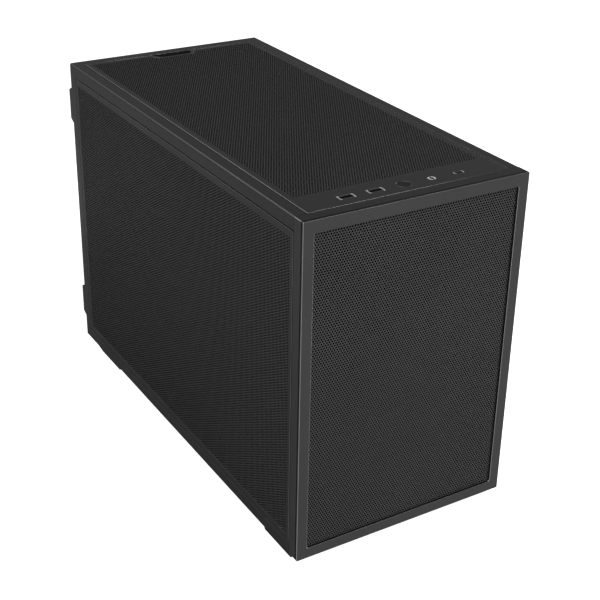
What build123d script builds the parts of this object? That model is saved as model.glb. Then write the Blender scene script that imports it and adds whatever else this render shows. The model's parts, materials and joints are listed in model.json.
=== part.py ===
from build123d import *
import os

# A micro ATX computer case: a folded steel frame with perforated push-fit panels, ports on the roof.
# Millimetres. X runs to the right seen from the front, Y to the rear, Z up from the floor.
# The origin is under the middle of the case, at the underside of its feet.

# Body, without the feet and without the two tabs that stand out behind each side
width = 215.0
depth = 458.0
height = 311.0
foot_height = 9.0
tab_reach = 6.6

# Walls
steel = 1.2
panel_steel = 1.0
plastic = 2.2
hair = 0.3
fold_radius = 1.8

# Front panel
front_depth = 13.0
front_seam = 0.3
bezel_thick = 2.0
bezel_rim = 10.0
bezel_top_rim = 10.8
bezel_groove = 0.4
bezel_corner = 2.0
front_mesh_thick = 1.0
front_web = 2.0
filter_lap = 1.4
filter_frame_thick = 1.6
filter_frame_rim = 5.9

# Frame borders that show round the panels
roof_rail = 10.8
rear_rail = 11.5
top_rail = 11.8
bottom_rail = 10.3
seat_depth = 8.0
ledge = 10.0
edge_round = 0.5

# Tabs behind the sides
tab_tall = 38.0
tab_chamfer = 3.5
tab_heights = (41.7, height - 44.5)

# Removable panels
panel_gap = 0.7
panel_front_gap = 0.8
panel_corner = 1.5
panel_round = 0.8
side_grille_margin = 8.0
roof_grille_margin = 6.3
end_grille_margin = 5.0
port_strip = 30.0
slot_pitch = 5.0
slot_width = 2.0

# Finger notch in the rear edge of the roof panel
notch_width = 45.0
notch_floor = 34.0
notch_depth = 10.5
notch_radius = 5.0

# Push-fit studs and their sockets
stud_inset = 3.7
stud_end_inset = 20.0
stud_radius = 1.6
stud_head = 2.4
stud_head_thick = 1.2
stud_reach = 4.0
socket_wall = 0.7
socket_flange = 0.8
socket_flange_thick = 1.0
socket_play = 0.05
front_stud_inset_x = 6.0
front_stud_inset_z = 5.4

# Ports on the roof
port_set_back = 27.0
port_pitch = 27.0
port_centre = 1.5
port_depth = 14.0
board_thick = 1.6
usb_lip = (14.5, 7.0)
usb_lip_thick = 0.6
usb_shell = (13.2, 5.8)
usb_opening = (12.5, 5.12)
usb_tongue = (11.1, 1.9)
usb_tongue_set = 0.6
shell_floor = 1.0
tongue_short = 1.0
usb_c_lip = (9.8, 4.2)
usb_c_opening = (8.34, 2.56)
usb_c_tongue = (6.7, 0.7)
jack_radius = 3.4
jack_bore = 1.8
jack_bore_depth = 12.0
button_radius = 6.2
button_thick = 4.0
button_travel = 0.8
guide_wall = 2.0
switch_size = 6.0
switch_height = 3.4
switch_floor = 0.6
stem_end = 9.6
plunger_long = 2.8
plunger_radius = 1.5
stem_radius = 2.0

# Rear wall and what it holds
rear_recess = 13.0
io_cutout = (44.45, 158.75)
slot_pitch_z = 20.32
slot_opening = 14.4
slot_count = 4
cover_wide = 18.4
cover_thick = 0.9
cover_tab = 11.4
fan_bolt_spacing = 105.0
fan_bolt_radius = 2.2
rear_fan_drop = 112.0
rear_fan_rim = 8.8
rear_fan_offset = 3.5
rear_fan_bolts = 52.5 / 56
flange = 8.0
flange_end = 20.0
io_from_tray = 50.25
io_drop = 160.25
slot_from_tray = (110.5, 5.5)
slot_drop = 173.5
cover_from_tray = (115.4, 2.5)
cover_corner = 3.7
shelf_span = (21.0, 103.0)
shelf_deep = 12.0
tab_slit = 1.6
slot_screw_reach = 4.6
inlet_lip = 2.5
inlet_deep = 22.0
inlet_socket_deep = 16.0
inlet_pin = (4.0, 2.0)
inlet_pin_points = ((2.0, -7.0), (2.0, 7.0), (-2.0, 0.0))
inlet_pin_short = 2.0
grille_pitch = 11.0
grille_cell = 8.6
inlet_edge = 3.3
inlet_rise = 50.0
inlet_body = (19.8, 27.0)
inlet_flange = (23.0, 50.0)
inlet_screws = 40.0
inlet_socket = (16.6, 24.0)

# Motherboard and its tray
tray_inset = 26.0
standoff_height = 6.5
standoff_across = 5.5
standoff_bore = 1.5
board_size = 243.84
board_lift = 0.382
board_columns = (6.35, 163.83, 233.68)
board_rows = (10.16, 165.1, 213.36)
board_gap = 1.5
standoff_hole = 2.4
tray_flange = 13.5
tray_top_flange = 6.5
cooler_window = (105.0, 105.0)
cooler_window_at = (95.5, 83.5)
cable_slot = (60.0, 18.0)
cable_slots_at = ((198.0, 32.0), (98.0, 32.0))

# Screws: radius, length, head radius, head thickness
case_screw = (1.75, 5.0, 3.0, 2.0)
small_screw = (1.5, 4.0, 2.8, 1.8)
screw_gap = 0.1
screw_cross = 0.7

# Power supply bracket
psu_steel = 1.5
psu_reach = 89.5
psu_run = (55.0, 207.0)
psu_height = 205.0
psu_upstand = 21.0
psu_window = (40.0, 110.0)
psu_centre = (44.0, 131.0)
psu_bolts = (64.0, 138.0)
psu_odd_bolt = 24.0
psu_bolt_radius = 2.1
psu_screw_run = (75.0, 131.0, 187.0)
psu_screw_height = 218.0

# Drive plate behind the tray
drive_lift = 6.0
drive_run = (60.0, 165.0)
drive_span = (60.0, 140.0)
drive_foot = 8.0
drive_bolts = (76.6, 61.72)
drive_bolt_radius = 1.6
drive_screw_inset = 15.0

# Front fans
front_fan_spacing = 0.45
front_fan_drop = 0.5
front_fan_radius = 58.0

# Port board and its bracket
board_wide = 127.0
board_deep = 16.0
bracket_wide = 135.0
bracket_deep = 25.5
bracket_drop = 8.2
boss_height = 2.0
boss_radius = 2.5
bracket_screw_x = 50.0
bracket_screw_drop = 23.0
roof_lip = 3.5

# Feet
foot_inset = 4.0
foot_wide = 20.0
front_foot = (14.0, 63.0)
rear_foot = (depth - 80.0, depth - 19.5)
foot_round = 1.5
foot_bevel = 2.2
rear_foot_nose = 0.5
rear_foot_slope = 14.0
pad_proud = 0.8
pad_sunk = 1.5
pad_margin = 3.5

# Bottom filter and its rails
filter_thick = 2.6
filter_rim = 9.0
filter_run = (70.0, depth - 18.0)
foot_gap = 4.3
net_thick = 0.3
pull_tab = (30.0, 10.0)
rail_gap = 0.6
rail_lip = 6.0
vent_slot = (30.0, 5.0)
vent_pitch = (40.0, 13.0)
vent_columns = 3
vent_ends = 29.0

# Planes and edges that several pieces share
front_y = -(depth + tab_reach) / 2
rear_y = front_y + depth
base_z = foot_height
top_z = base_z + height
side_x = width / 2
frame_front = front_y + front_depth + front_seam
channel_front = frame_front + steel
window_rear = rear_y - rear_rail
window_low = base_z + bottom_rail
window_high = top_z - top_rail
roof_half = side_x - roof_rail
seat_x = side_x - seat_depth
seat_z = top_z - seat_depth
ledge_x = seat_x - steel
ledge_z = seat_z - steel
floor_z = base_z + steel
rear_plane = rear_y - rear_recess
rear_inner = rear_plane - steel
panel_front = front_y + front_depth + panel_front_gap
panel_rear = window_rear - panel_gap
port_y = front_y + port_set_back
port_xs = [port_centre + step * port_pitch for step in (-2, -1, 0, 1, 2)]
board_z = top_z - port_depth
tray_x = side_x - tray_inset
inner_x = side_x - steel
case_hole = case_screw[0] + screw_gap
small_hole = small_screw[0] + screw_gap

# Front panel: its opening, and the web behind the mesh
opening_x = side_x - bezel_rim
opening_z = (base_z + bezel_rim, top_z - bezel_top_rim)
opening_mid = (opening_z[0] + opening_z[1]) / 2
opening_tall = opening_z[1] - opening_z[0]
web_front = front_y + bezel_thick + front_mesh_thick
web_rear = web_front + front_web
front_face = Plane.XZ.offset(-front_y)
fan_face = Plane.XZ.offset(-frame_front)

# The board stands on the tray, with the free height shared between its two edges
board_top_z = base_z + board_size + board_lift * (ledge_z - base_z - board_size)

# Rear wall: its face, with x to the left seen from the front, and what lies on it
rear_face = Plane(origin=(0, rear_plane, 0), x_dir=(-1, 0, 0), z_dir=(0, 1, 0))
io_x = (tray_x - io_from_tray, tray_x - io_from_tray + io_cutout[0])
io_z = (board_top_z - io_drop, board_top_z - io_drop + io_cutout[1])
slot_opening_x = [tray_x - reach for reach in slot_from_tray]
cover_x = [tray_x - reach for reach in cover_from_tray]
slot_zs = [board_top_z - slot_drop - step * slot_pitch_z for step in range(slot_count)]
shelf_x = cover_x[0] + cover_thick
shelf_z = (base_z + shelf_span[0], base_z + shelf_span[1])
slot_screw_y = rear_plane + slot_screw_reach
rear_fan_radius = (io_x[0] + ledge_x) / 2 - rear_fan_rim
rear_fan_middle = ((ledge_x - io_x[0]) / 2 + rear_fan_offset, top_z - rear_fan_drop)
inlet_middle = (ledge_x - inlet_edge - inlet_flange[0] / 2, base_z + inlet_rise)
rear_flange_x = (-roof_half + ledge, tray_x - hair)

# Tray: its face towards the board, with x to the front, and what lies on it
tray_face = Plane(origin=(tray_x, 0, 0), x_dir=(0, -1, 0), z_dir=(-1, 0, 0))
board_holes = [
    (-(rear_inner - board_gap - column), board_top_z - row)
    for column in board_columns
    for row in board_rows
]
psu_z = base_z + psu_height
psu_bolt_points = [
    (-psu_bolts[0] / 2, -psu_bolts[1] / 2),
    (-psu_bolts[0] / 2, psu_bolts[1] / 2),
    (psu_bolts[0] / 2, -psu_bolts[1] / 2),
    (psu_bolts[0] / 2 - psu_odd_bolt, psu_bolts[1] / 2),
]
psu_screws = [(-(front_y + run), base_z + psu_screw_height) for run in psu_screw_run]

# Drive plate: its face away from the tray, with x to the rear
drive_face = Plane(
    origin=(tray_x + 2 * steel + drive_lift, 0, 0), x_dir=(0, 1, 0), z_dir=(1, 0, 0)
)
drive_y = (front_y + drive_run[0], front_y + drive_run[1])
drive_z = (base_z + drive_span[0], base_z + drive_span[1])
drive_screws = [
    (y, z)
    for y in (drive_y[0] + drive_screw_inset, drive_y[1] - drive_screw_inset)
    for z in (drive_z[0] - drive_foot / 2, drive_z[1] + drive_foot / 2)
]

# Port bracket, rails and button
bracket_z = board_z - board_thick - boss_height - steel
bracket_x = (port_centre - bracket_wide / 2, port_centre + bracket_wide / 2)
bracket_screws = [(x, top_z - bracket_screw_drop) for x in (-bracket_screw_x, bracket_screw_x)]
fan_middle = base_z + height / 2 - front_fan_drop
front_fans = [(0, fan_middle + step * front_fan_spacing * height) for step in (-0.5, 0.5)]
filter_top = base_z - hair
rail_x = side_x - foot_inset - foot_wide - foot_gap - steel
filter_half = rail_x - rail_gap
filter_long = filter_run[1] - filter_run[0]
vent_rows = int((filter_long - 2 * vent_ends) // vent_pitch[1])
rail_z = filter_top - filter_thick - hair - steel
stem_z = top_z - stem_end

# Removable panels: middle and size of each, seen along the plane that it lies in
side_long = panel_rear - panel_front
side_short = window_high - window_low - 2 * panel_gap
roof_wide = 2 * (roof_half - panel_gap)
panel_mid_y = (panel_front + panel_rear) / 2
side_mid_z = (window_high + window_low) / 2
left_plane = Plane(origin=(-side_x, panel_mid_y, side_mid_z), x_dir=(0, 1, 0), z_dir=(-1, 0, 0))
right_plane = Plane(origin=(side_x, panel_mid_y, side_mid_z), x_dir=(0, 1, 0), z_dir=(1, 0, 0))
roof_plane = Plane(origin=(0, panel_mid_y, top_z), x_dir=(1, 0, 0), z_dir=(0, 0, 1))
front_plane = Plane(origin=(0, front_y, base_z + height / 2), x_dir=(1, 0, 0), z_dir=(0, -1, 0))

side_studs = [
    (x, y)
    for x in (-side_long / 2 + stud_end_inset, 0, side_long / 2 - stud_end_inset)
    for y in (-side_short / 2 + stud_inset, side_short / 2 - stud_inset)
]
roof_studs = [
    (x, y)
    for x in (-roof_wide / 2 + stud_inset, roof_wide / 2 - stud_inset)
    for y in (-side_long / 2 + stud_end_inset, 0, side_long / 2 - stud_end_inset)
]
front_studs = [
    (x, y)
    for x in (-side_x + front_stud_inset_x, side_x - front_stud_inset_x)
    for y in (-height / 2 + front_stud_inset_z, height / 2 - front_stud_inset_z)
]
socket_bore = stud_radius + hair
socket_radius = socket_bore + socket_wall
socket_hole = socket_radius + socket_play


def block(x, y, z, mode=Mode.ADD):
    """A block between two values on each axis, in the part being built."""
    with Locations(((x[0] + x[1]) / 2, (y[0] + y[1]) / 2, (z[0] + z[1]) / 2)):
        Box(abs(x[1] - x[0]), abs(y[1] - y[0]), abs(z[1] - z[0]), mode=mode)


def span(middle, size):
    """The two ends of a length about its middle."""
    return (middle - size / 2, middle + size / 2)


def square_points(middle, spacing):
    """The four corners of a square about its middle."""
    half = spacing / 2
    return [(middle[0] + x, middle[1] + y) for x in (-half, half) for y in (-half, half)]


def grille_cells(middle, radius, pitch, cell):
    """Middles of the hexagonal cells that lie inside a circle."""
    reach = int(radius // pitch) + 1
    cells = []
    for row in range(-reach, reach + 1):
        for column in range(-reach, reach + 1):
            x, y = (column + row % 2 / 2) * pitch, row * pitch * 3**0.5 / 2
            if (x * x + y * y) ** 0.5 + cell / 2 < radius:
                cells.append((middle[0] + x, middle[1] + y))
    return cells


def cut_round(workplane, points, radius, far):
    """Round holes through the part being built, from a plane down to a depth."""
    with BuildSketch(workplane) as holes:
        with Locations(*points):
            Circle(radius)
    extrude(holes.sketch, amount=-far, mode=Mode.SUBTRACT)


def pierce(workplane, middle, size, columns, thick):
    """A field of fine slots with ribs between them, in place of the round perforation."""
    rows = int(size[1] // slot_pitch)
    rib = slot_pitch - slot_width
    slot_long = (size[0] - (columns - 1) * rib) / columns
    with BuildSketch(workplane) as slots:
        with Locations(middle):
            with GridLocations(slot_long + rib, slot_pitch, columns, rows):
                Rectangle(slot_long, slot_width)
    extrude(slots.sketch, amount=-thick, mode=Mode.SUBTRACT)


def copies(piece, workplane, points):
    """The same piece at each point of a plane, with its own z along the plane's normal."""
    with BuildPart(workplane) as group:
        with Locations(*points):
            add(piece)
    return group.part


def pan_screw(radius, length, head_radius, head_thick):
    """A pan head screw that points down from z = 0, its head above."""
    with BuildPart() as screw:
        Cylinder(head_radius, head_thick, align=(Align.CENTER, Align.CENTER, Align.MIN))
        chamfer(screw.edges().sort_by(Axis.Z)[-1], head_thick / 3)
        Cylinder(radius, length, align=(Align.CENTER, Align.CENTER, Align.MAX))
        with Locations((0, 0, head_thick)):
            Box(head_radius, screw_cross, head_thick, mode=Mode.SUBTRACT)
            Box(screw_cross, head_radius, head_thick, mode=Mode.SUBTRACT)
    return screw.part


def panel_stud(head_depth, seat):
    """A stud with its head under a panel's sheet and its tip past the seat, pointing down."""
    with BuildPart() as stud:
        with Locations((0, 0, -head_depth)):
            Cylinder(stud_head, stud_head_thick, align=(Align.CENTER, Align.CENTER, Align.MAX))
            Cylinder(
                stud_radius,
                seat + steel + stud_reach - head_depth,
                align=(Align.CENTER, Align.CENTER, Align.MAX),
            )
        chamfer(stud.edges().sort_by(Axis.Z)[0], stud_radius / 2)
    return stud.part


def panel_socket(seat):
    """The plastic collar that a stud enters, clipped in a hole of the seat below a panel."""
    with BuildPart() as socket:
        with Locations((0, 0, -seat)):
            Cylinder(socket_radius, steel + stud_reach, align=(Align.CENTER, Align.CENTER, Align.MAX))
        with Locations((0, 0, -seat - steel)):
            Cylinder(
                socket_radius + socket_flange,
                socket_flange_thick,
                align=(Align.CENTER, Align.CENTER, Align.MAX),
            )
        with Locations((0, 0, -seat)):
            Cylinder(
                socket_bore,
                steel + stud_reach + socket_flange_thick,
                align=(Align.CENTER, Align.CENTER, Align.MAX),
                mode=Mode.SUBTRACT,
            )
    return socket.part


def panel_blank(workplane, long, short):
    """A sheet folded back on its four edges as far as the seat."""
    outward = Axis(workplane.origin, workplane.z_dir)
    with BuildPart(workplane) as blank:
        Box(long, short, seat_depth, align=(Align.CENTER, Align.CENTER, Align.MAX))
        fillet(blank.edges().filter_by(outward), panel_corner)
        fillet(blank.faces().sort_by(outward)[-1].edges(), panel_round)
        with BuildSketch(workplane.offset(-panel_steel)):
            RectangleRounded(long - 2 * panel_steel, short - 2 * panel_steel, panel_corner - panel_steel)
        extrude(amount=-seat_depth, mode=Mode.SUBTRACT)
    return blank.part


# Outer frame
def side_channel(side):
    """The folds behind one side window: a wall inwards and the ledge that the panel seats on."""
    wall = (side * side_x, side * ledge_x)
    shelf = (side * seat_x, side * ledge_x)
    run = (channel_front, window_rear + steel)
    block(wall, run, (window_high, window_high + steel))
    block(wall, run, (window_low - steel, window_low))
    block(wall, (window_rear, window_rear + steel), (window_low - steel, window_high + steel))
    block(shelf, run, (window_high - ledge, window_high + steel))
    block(shelf, run, (window_low - steel, window_low + ledge))
    block(shelf, (window_rear - ledge, window_rear + steel), (window_low, window_high))


def roof_channel():
    """The folds round the roof window, open at the front."""
    run = (channel_front, window_rear + steel)
    for side in (-1, 1):
        block((side * roof_half, side * (roof_half + steel)), run, (ledge_z, top_z))
        block((side * (roof_half - ledge), side * (roof_half + steel)), run, (ledge_z, seat_z))
    across = (-roof_half - steel, roof_half + steel)
    block(across, (window_rear, window_rear + steel), (ledge_z, top_z))
    block(across, (window_rear - ledge, window_rear + steel), (ledge_z, seat_z))


def borders_window(edge):
    """True for an outer edge of the frame that runs round a side window or the roof window."""
    middle = edge.center()
    inside_y = frame_front < middle.Y < window_rear + hair
    on_side = abs(abs(middle.X) - side_x) < 0.01 and window_low - hair < middle.Z < window_high + hair
    on_roof = abs(middle.Z - top_z) < 0.01 and abs(middle.X) < roof_half + hair
    return inside_y and (on_side or on_roof)


with BuildPart() as outer_frame:
    with BuildSketch(Plane.XZ.offset(-frame_front)) as outline:
        with Locations((0, base_z)):
            Rectangle(width, height, align=(Align.CENTER, Align.MIN))
        fillet(outline.vertices().group_by(Axis.Y)[-1], fold_radius)
    extrude(amount=-(rear_y - frame_front))
    with BuildSketch(Plane.XZ.offset(-frame_front)) as hollow:
        with Locations((0, base_z)):
            Rectangle(width - 2 * steel, height - steel, align=(Align.CENTER, Align.MIN))
        fillet(hollow.vertices().group_by(Axis.Y)[-1], fold_radius - steel)
    extrude(amount=-(rear_y - frame_front), mode=Mode.SUBTRACT)
    for tab_x in (-side_x, side_x - steel):
        for tab_height in tab_heights:
            low, high = span(base_z + tab_height, tab_tall)
            with BuildSketch(Plane.YZ.offset(tab_x)):
                with BuildLine():
                    Polyline(
                        (rear_y - steel, low),
                        (rear_y, low),
                        (rear_y + tab_reach, low + tab_chamfer),
                        (rear_y + tab_reach, high - tab_chamfer),
                        (rear_y, high),
                        (rear_y - steel, high),
                        close=True,
                    )
                make_face()
            extrude(amount=steel)
    block((-side_x, side_x), (frame_front, window_rear), (window_low, window_high), Mode.SUBTRACT)
    block((-roof_half, roof_half), (frame_front, window_rear), (seat_z, top_z), Mode.SUBTRACT)
    for side in (-1, 1):
        side_channel(side)
    roof_channel()
    fillet(outer_frame.edges().filter_by(borders_window), edge_round)
    cut_round(left_plane.offset(-seat_depth), side_studs, socket_hole, steel)
    cut_round(right_plane.offset(-seat_depth), side_studs, socket_hole, steel)
    cut_round(roof_plane.offset(-seat_depth), roof_studs, socket_hole, steel)


# Bottom plate, with vents over the filter and the rails that the filter slides in
with BuildPart() as bottom_plate:
    block((-inner_x, inner_x), (frame_front, rear_y), (base_z, floor_z))
    for side in (-1, 1):
        block(
            (side * inner_x, side * (inner_x - steel)),
            (frame_front + flange_end, rear_y - flange_end),
            (base_z, base_z + flange),
        )
        rail_run = (front_y + filter_run[0], rear_y - flange_end)
        block((side * rail_x, side * (rail_x + steel)), rail_run, (rail_z, base_z))
        block((side * (rail_x - rail_lip), side * (rail_x + steel)), rail_run, (rail_z, rail_z + steel))
    with BuildSketch(Plane.XY.offset(floor_z)):
        with Locations((0, front_y + sum(filter_run) / 2)):
            with GridLocations(*vent_pitch, vent_columns, vent_rows):
                SlotOverall(*vent_slot)
    extrude(amount=-steel, mode=Mode.SUBTRACT)


# Front plate behind the front panel, with two fan openings and the seat of the side panels' front edges
with BuildPart() as front_plate:
    block((-inner_x, inner_x), (frame_front, channel_front), (floor_z, top_z - steel))
    chamfer(front_plate.edges().filter_by(Axis.Y).group_by(Axis.Z)[-1], fold_radius - steel)
    for side in (-1, 1):
        block(
            (side * side_x, side * seat_x),
            (frame_front, channel_front),
            (window_low, window_high),
            Mode.SUBTRACT,
        )
        block(
            (side * seat_x, side * ledge_x),
            (frame_front, channel_front + ledge),
            (window_low + ledge + hair, window_high - ledge - hair),
        )
    block((-roof_half, roof_half), (frame_front, channel_front), (seat_z, top_z), Mode.SUBTRACT)
    block(
        (-roof_half + ledge + hair, roof_half - ledge - hair),
        (frame_front, channel_front + roof_lip),
        (ledge_z, seat_z),
    )
    cut_round(fan_face, front_fans, front_fan_radius, steel)
    for fan_point in front_fans:
        cut_round(fan_face, square_points(fan_point, fan_bolt_spacing), fan_bolt_radius, steel)
    cut_round(fan_face, bracket_screws, small_hole, steel)
    cut_round(front_plane.offset(-front_depth - front_seam), front_studs, socket_hole, steel)


# Rear plate: openings for the board's sockets and the cards, a fan grille and the mains inlet
with BuildPart() as rear_plate:
    block((-ledge_x, ledge_x), (rear_inner, rear_plane), (floor_z, ledge_z))
    for side in (-1, 1):
        block(
            (side * ledge_x, side * (ledge_x - steel)),
            (rear_plane - flange, rear_plane),
            (floor_z + flange, ledge_z - flange),
        )
    block(rear_flange_x, (rear_plane - flange, rear_plane), (ledge_z - steel, ledge_z))
    block(rear_flange_x, (rear_plane - flange, rear_plane), (floor_z, floor_z + steel))
    block(io_x, (rear_inner, rear_plane), io_z, Mode.SUBTRACT)
    for slot_z in slot_zs:
        block(slot_opening_x, (rear_inner, rear_plane), span(slot_z, slot_opening), Mode.SUBTRACT)
    block((shelf_x - tab_slit, shelf_x), (rear_inner, rear_plane), shelf_z, Mode.SUBTRACT)
    block((shelf_x, shelf_x + steel), (rear_inner, rear_plane + shelf_deep), shelf_z)
    with BuildSketch(Plane.YZ.offset(shelf_x + steel)):
        with Locations(*[(slot_screw_y, slot_z) for slot_z in slot_zs]):
            Circle(case_hole)
    extrude(amount=-steel, mode=Mode.SUBTRACT)
    with BuildSketch(rear_face):
        with Locations(*grille_cells(rear_fan_middle, rear_fan_radius, grille_pitch, grille_cell)):
            RegularPolygon(grille_cell / 2, 6, major_radius=False, rotation=30)
    extrude(amount=-steel, mode=Mode.SUBTRACT)
    rear_bolt_spacing = 2 * rear_fan_bolts * rear_fan_radius
    cut_round(rear_face, square_points(rear_fan_middle, rear_bolt_spacing), fan_bolt_radius, steel)
    with BuildSketch(rear_face):
        with Locations(inlet_middle):
            Rectangle(inlet_body[0] + hair, inlet_body[1] + hair)
            with GridLocations(0, inlet_screws, 1, 2):
                Circle(small_hole)
    extrude(amount=-steel, mode=Mode.SUBTRACT)


# Motherboard tray, with its edges bent away from the board
with BuildPart() as motherboard_tray:
    block((tray_x, tray_x + steel), (channel_front, rear_inner), (floor_z, ledge_z))
    bend = (tray_x, tray_x + tray_flange)
    top_bend = (tray_x, tray_x + tray_top_flange)
    block(bend, (channel_front, channel_front + steel), (floor_z, ledge_z - steel))
    block(bend, (rear_inner - steel, rear_inner), (floor_z + steel, ledge_z - steel))
    block(bend, (channel_front, rear_inner - flange), (floor_z, floor_z + steel))
    block(top_bend, (channel_front, rear_inner - flange), (ledge_z - steel, ledge_z))
    with BuildSketch(tray_face):
        with Locations((cooler_window_at[0] - rear_y, board_top_z - cooler_window_at[1])):
            RectangleRounded(*cooler_window, 2 * plastic)
        with Locations(*[(y - rear_y, top_z - z) for y, z in cable_slots_at]):
            SlotOverall(*cable_slot)
        with Locations(*board_holes):
            Circle(standoff_hole)
        with Locations(*psu_screws, *[(-y, z) for y, z in drive_screws]):
            Circle(small_hole)
    extrude(amount=-steel, mode=Mode.SUBTRACT)


# Power supply bracket: a shelf with a window, bent up along the tray
with BuildPart() as psu_bracket:
    psu_x, psu_y = (tray_x - psu_reach, tray_x), (front_y + psu_run[0], front_y + psu_run[1])
    block(psu_x, psu_y, (psu_z, psu_z + psu_steel))
    block((psu_x[1] - psu_steel, psu_x[1]), psu_y, (psu_z, psu_z + psu_upstand))
    block((psu_x[0], psu_x[0] + psu_steel), psu_y, (psu_z, psu_z + flange))
    with BuildSketch(Plane.XY.offset(psu_z + psu_steel)):
        with Locations((tray_x - psu_centre[0], front_y + psu_centre[1])):
            RectangleRounded(*psu_window, 2 * plastic)
            with Locations(*psu_bolt_points):
                Circle(psu_bolt_radius)
    extrude(amount=-psu_steel, mode=Mode.SUBTRACT)
    cut_round(tray_face.offset(psu_steel), psu_screws, small_hole, psu_steel)

psu_bracket_screws = copies(pan_screw(*small_screw), tray_face.offset(psu_steel), psu_screws)


# Drive plate behind the tray, on two bent feet
with BuildPart() as drive_plate:
    drive_low, drive_high = drive_z
    plate_x = (tray_x + steel + drive_lift, tray_x + 2 * steel + drive_lift)
    block(plate_x, drive_y, drive_z)
    for edge, out in ((drive_low, -1), (drive_high, 1)):
        block((tray_x + steel, plate_x[1]), drive_y, (edge - out * steel, edge))
        block((tray_x + steel, tray_x + 2 * steel), drive_y, (edge - out * steel, edge + out * drive_foot))
    with BuildSketch(drive_face):
        with Locations((sum(drive_y) / 2, sum(drive_z) / 2)):
            with GridLocations(*drive_bolts, 2, 2):
                Circle(drive_bolt_radius)
        with Locations(*drive_screws):
            Circle(small_hole)
    extrude(amount=-drive_lift - 2 * steel, mode=Mode.SUBTRACT)

drive_plate_screws = copies(pan_screw(*small_screw), drive_face.offset(-drive_lift), drive_screws)


# Motherboard standoffs, hexagonal, with a thread through them and a stem in the tray
with BuildPart() as standoff:
    with BuildSketch():
        RegularPolygon(standoff_across / 2, 6, major_radius=False)
    extrude(amount=standoff_height)
    Cylinder(standoff_hole - screw_gap, steel, align=(Align.CENTER, Align.CENTER, Align.MAX))
    Hole(standoff_bore)
board_standoffs = copies(standoff.part, tray_face, board_holes)


# Expansion slot covers: a plate behind its opening and a tab bent out on to the shelf
def slot_cover(slot_z):
    """One blanking cover at its height."""
    with BuildPart() as cover:
        block(cover_x, (rear_inner - cover_thick, rear_inner), span(slot_z, cover_wide))
        block(
            (cover_x[0], cover_x[0] + cover_thick),
            (rear_inner - cover_thick, rear_plane + cover_tab),
            span(slot_z, cover_wide),
        )
        with BuildSketch(Plane.YZ.offset(cover_x[0])):
            with Locations((slot_screw_y, slot_z)):
                Circle(case_hole)
        extrude(amount=cover_thick, mode=Mode.SUBTRACT)
        chamfer(cover.edges().filter_by(Axis.Y).group_by(Axis.X)[-1], cover_corner)
    return cover.part


slot_screws = copies(
    pan_screw(*case_screw),
    Plane(origin=(cover_x[0], 0, 0), x_dir=(0, 1, 0), z_dir=(-1, 0, 0)),
    [(slot_screw_y, -slot_z) for slot_z in slot_zs],
)


# Mains inlet, its three pins and its two screws
with BuildPart() as ac_inlet:
    with BuildSketch(rear_face):
        with Locations(inlet_middle):
            RectangleRounded(*inlet_flange, plastic)
    extrude(amount=inlet_lip)
    with BuildSketch(rear_face):
        with Locations(inlet_middle):
            Rectangle(*inlet_body)
    extrude(amount=-inlet_deep)
    with BuildSketch(rear_face.offset(inlet_lip)):
        with Locations(inlet_middle):
            Rectangle(*inlet_socket)
    extrude(amount=-inlet_socket_deep - inlet_lip, mode=Mode.SUBTRACT)
    with BuildSketch(rear_face.offset(inlet_lip)):
        with Locations(inlet_middle):
            with GridLocations(0, inlet_screws, 1, 2):
                Circle(small_hole)
    extrude(amount=-inlet_lip, mode=Mode.SUBTRACT)

with BuildPart() as ac_inlet_pins:
    with BuildSketch(rear_face.offset(-inlet_socket_deep)):
        with Locations(inlet_middle):
            with Locations(*inlet_pin_points):
                Rectangle(*inlet_pin)
    extrude(amount=inlet_socket_deep - inlet_pin_short)

ac_inlet_screws = copies(
    pan_screw(*small_screw),
    rear_face.offset(inlet_lip),
    [(inlet_middle[0], inlet_middle[1] + z) for z in (-inlet_screws / 2, inlet_screws / 2)],
)


# Port bracket: a shelf on the front plate, with raised bosses under the board
with BuildPart() as port_bracket:
    block(bracket_x, (channel_front, channel_front + bracket_deep), (bracket_z, bracket_z + steel))
    block(bracket_x, (channel_front, channel_front + steel), (bracket_z - bracket_drop, bracket_z + steel))
    with BuildSketch(Plane.XY.offset(bracket_z + steel)):
        with Locations((port_centre, port_y)):
            with GridLocations(board_wide - 4 * boss_radius, board_deep - 3 * boss_radius, 2, 2):
                Circle(boss_radius)
    extrude(amount=boss_height)
    cut_round(Plane.XZ.offset(-channel_front), bracket_screws, small_hole, steel)

port_bracket_screws = copies(pan_screw(*small_screw), fan_face, bracket_screws)

with BuildPart() as port_board:
    with BuildSketch(Plane.XY.offset(board_z)):
        with Locations((port_centre, port_y)):
            RectangleRounded(board_wide, board_deep, 1)
    extrude(amount=-board_thick)


# Ports: each stands on the board and ends flush with the roof panel
def usb_shell_at(port_x):
    """The metal shell of one socket, with its flared lip."""
    with BuildPart() as shell:
        with BuildSketch(Plane.XY.offset(board_z)):
            with Locations((port_x, port_y)):
                Rectangle(*usb_shell)
        extrude(amount=port_depth - usb_lip_thick)
        with BuildSketch(Plane.XY.offset(top_z)):
            with Locations((port_x, port_y)):
                RectangleRounded(*usb_lip, 0.8)
        extrude(amount=-usb_lip_thick)
        with BuildSketch(Plane.XY.offset(top_z)):
            with Locations((port_x, port_y)):
                Rectangle(*usb_opening)
        extrude(amount=shell_floor - port_depth, mode=Mode.SUBTRACT)
    return shell.part


def usb_tongue_at(port_x):
    """The tongue inside one socket, against the side of the shell's floor."""
    with BuildPart() as tongue:
        with BuildSketch(Plane.XY.offset(board_z + shell_floor)):
            with Locations((port_x, port_y + usb_tongue_set)):
                Rectangle(*usb_tongue)
        extrude(amount=port_depth - shell_floor - tongue_short)
    return tongue.part


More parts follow.
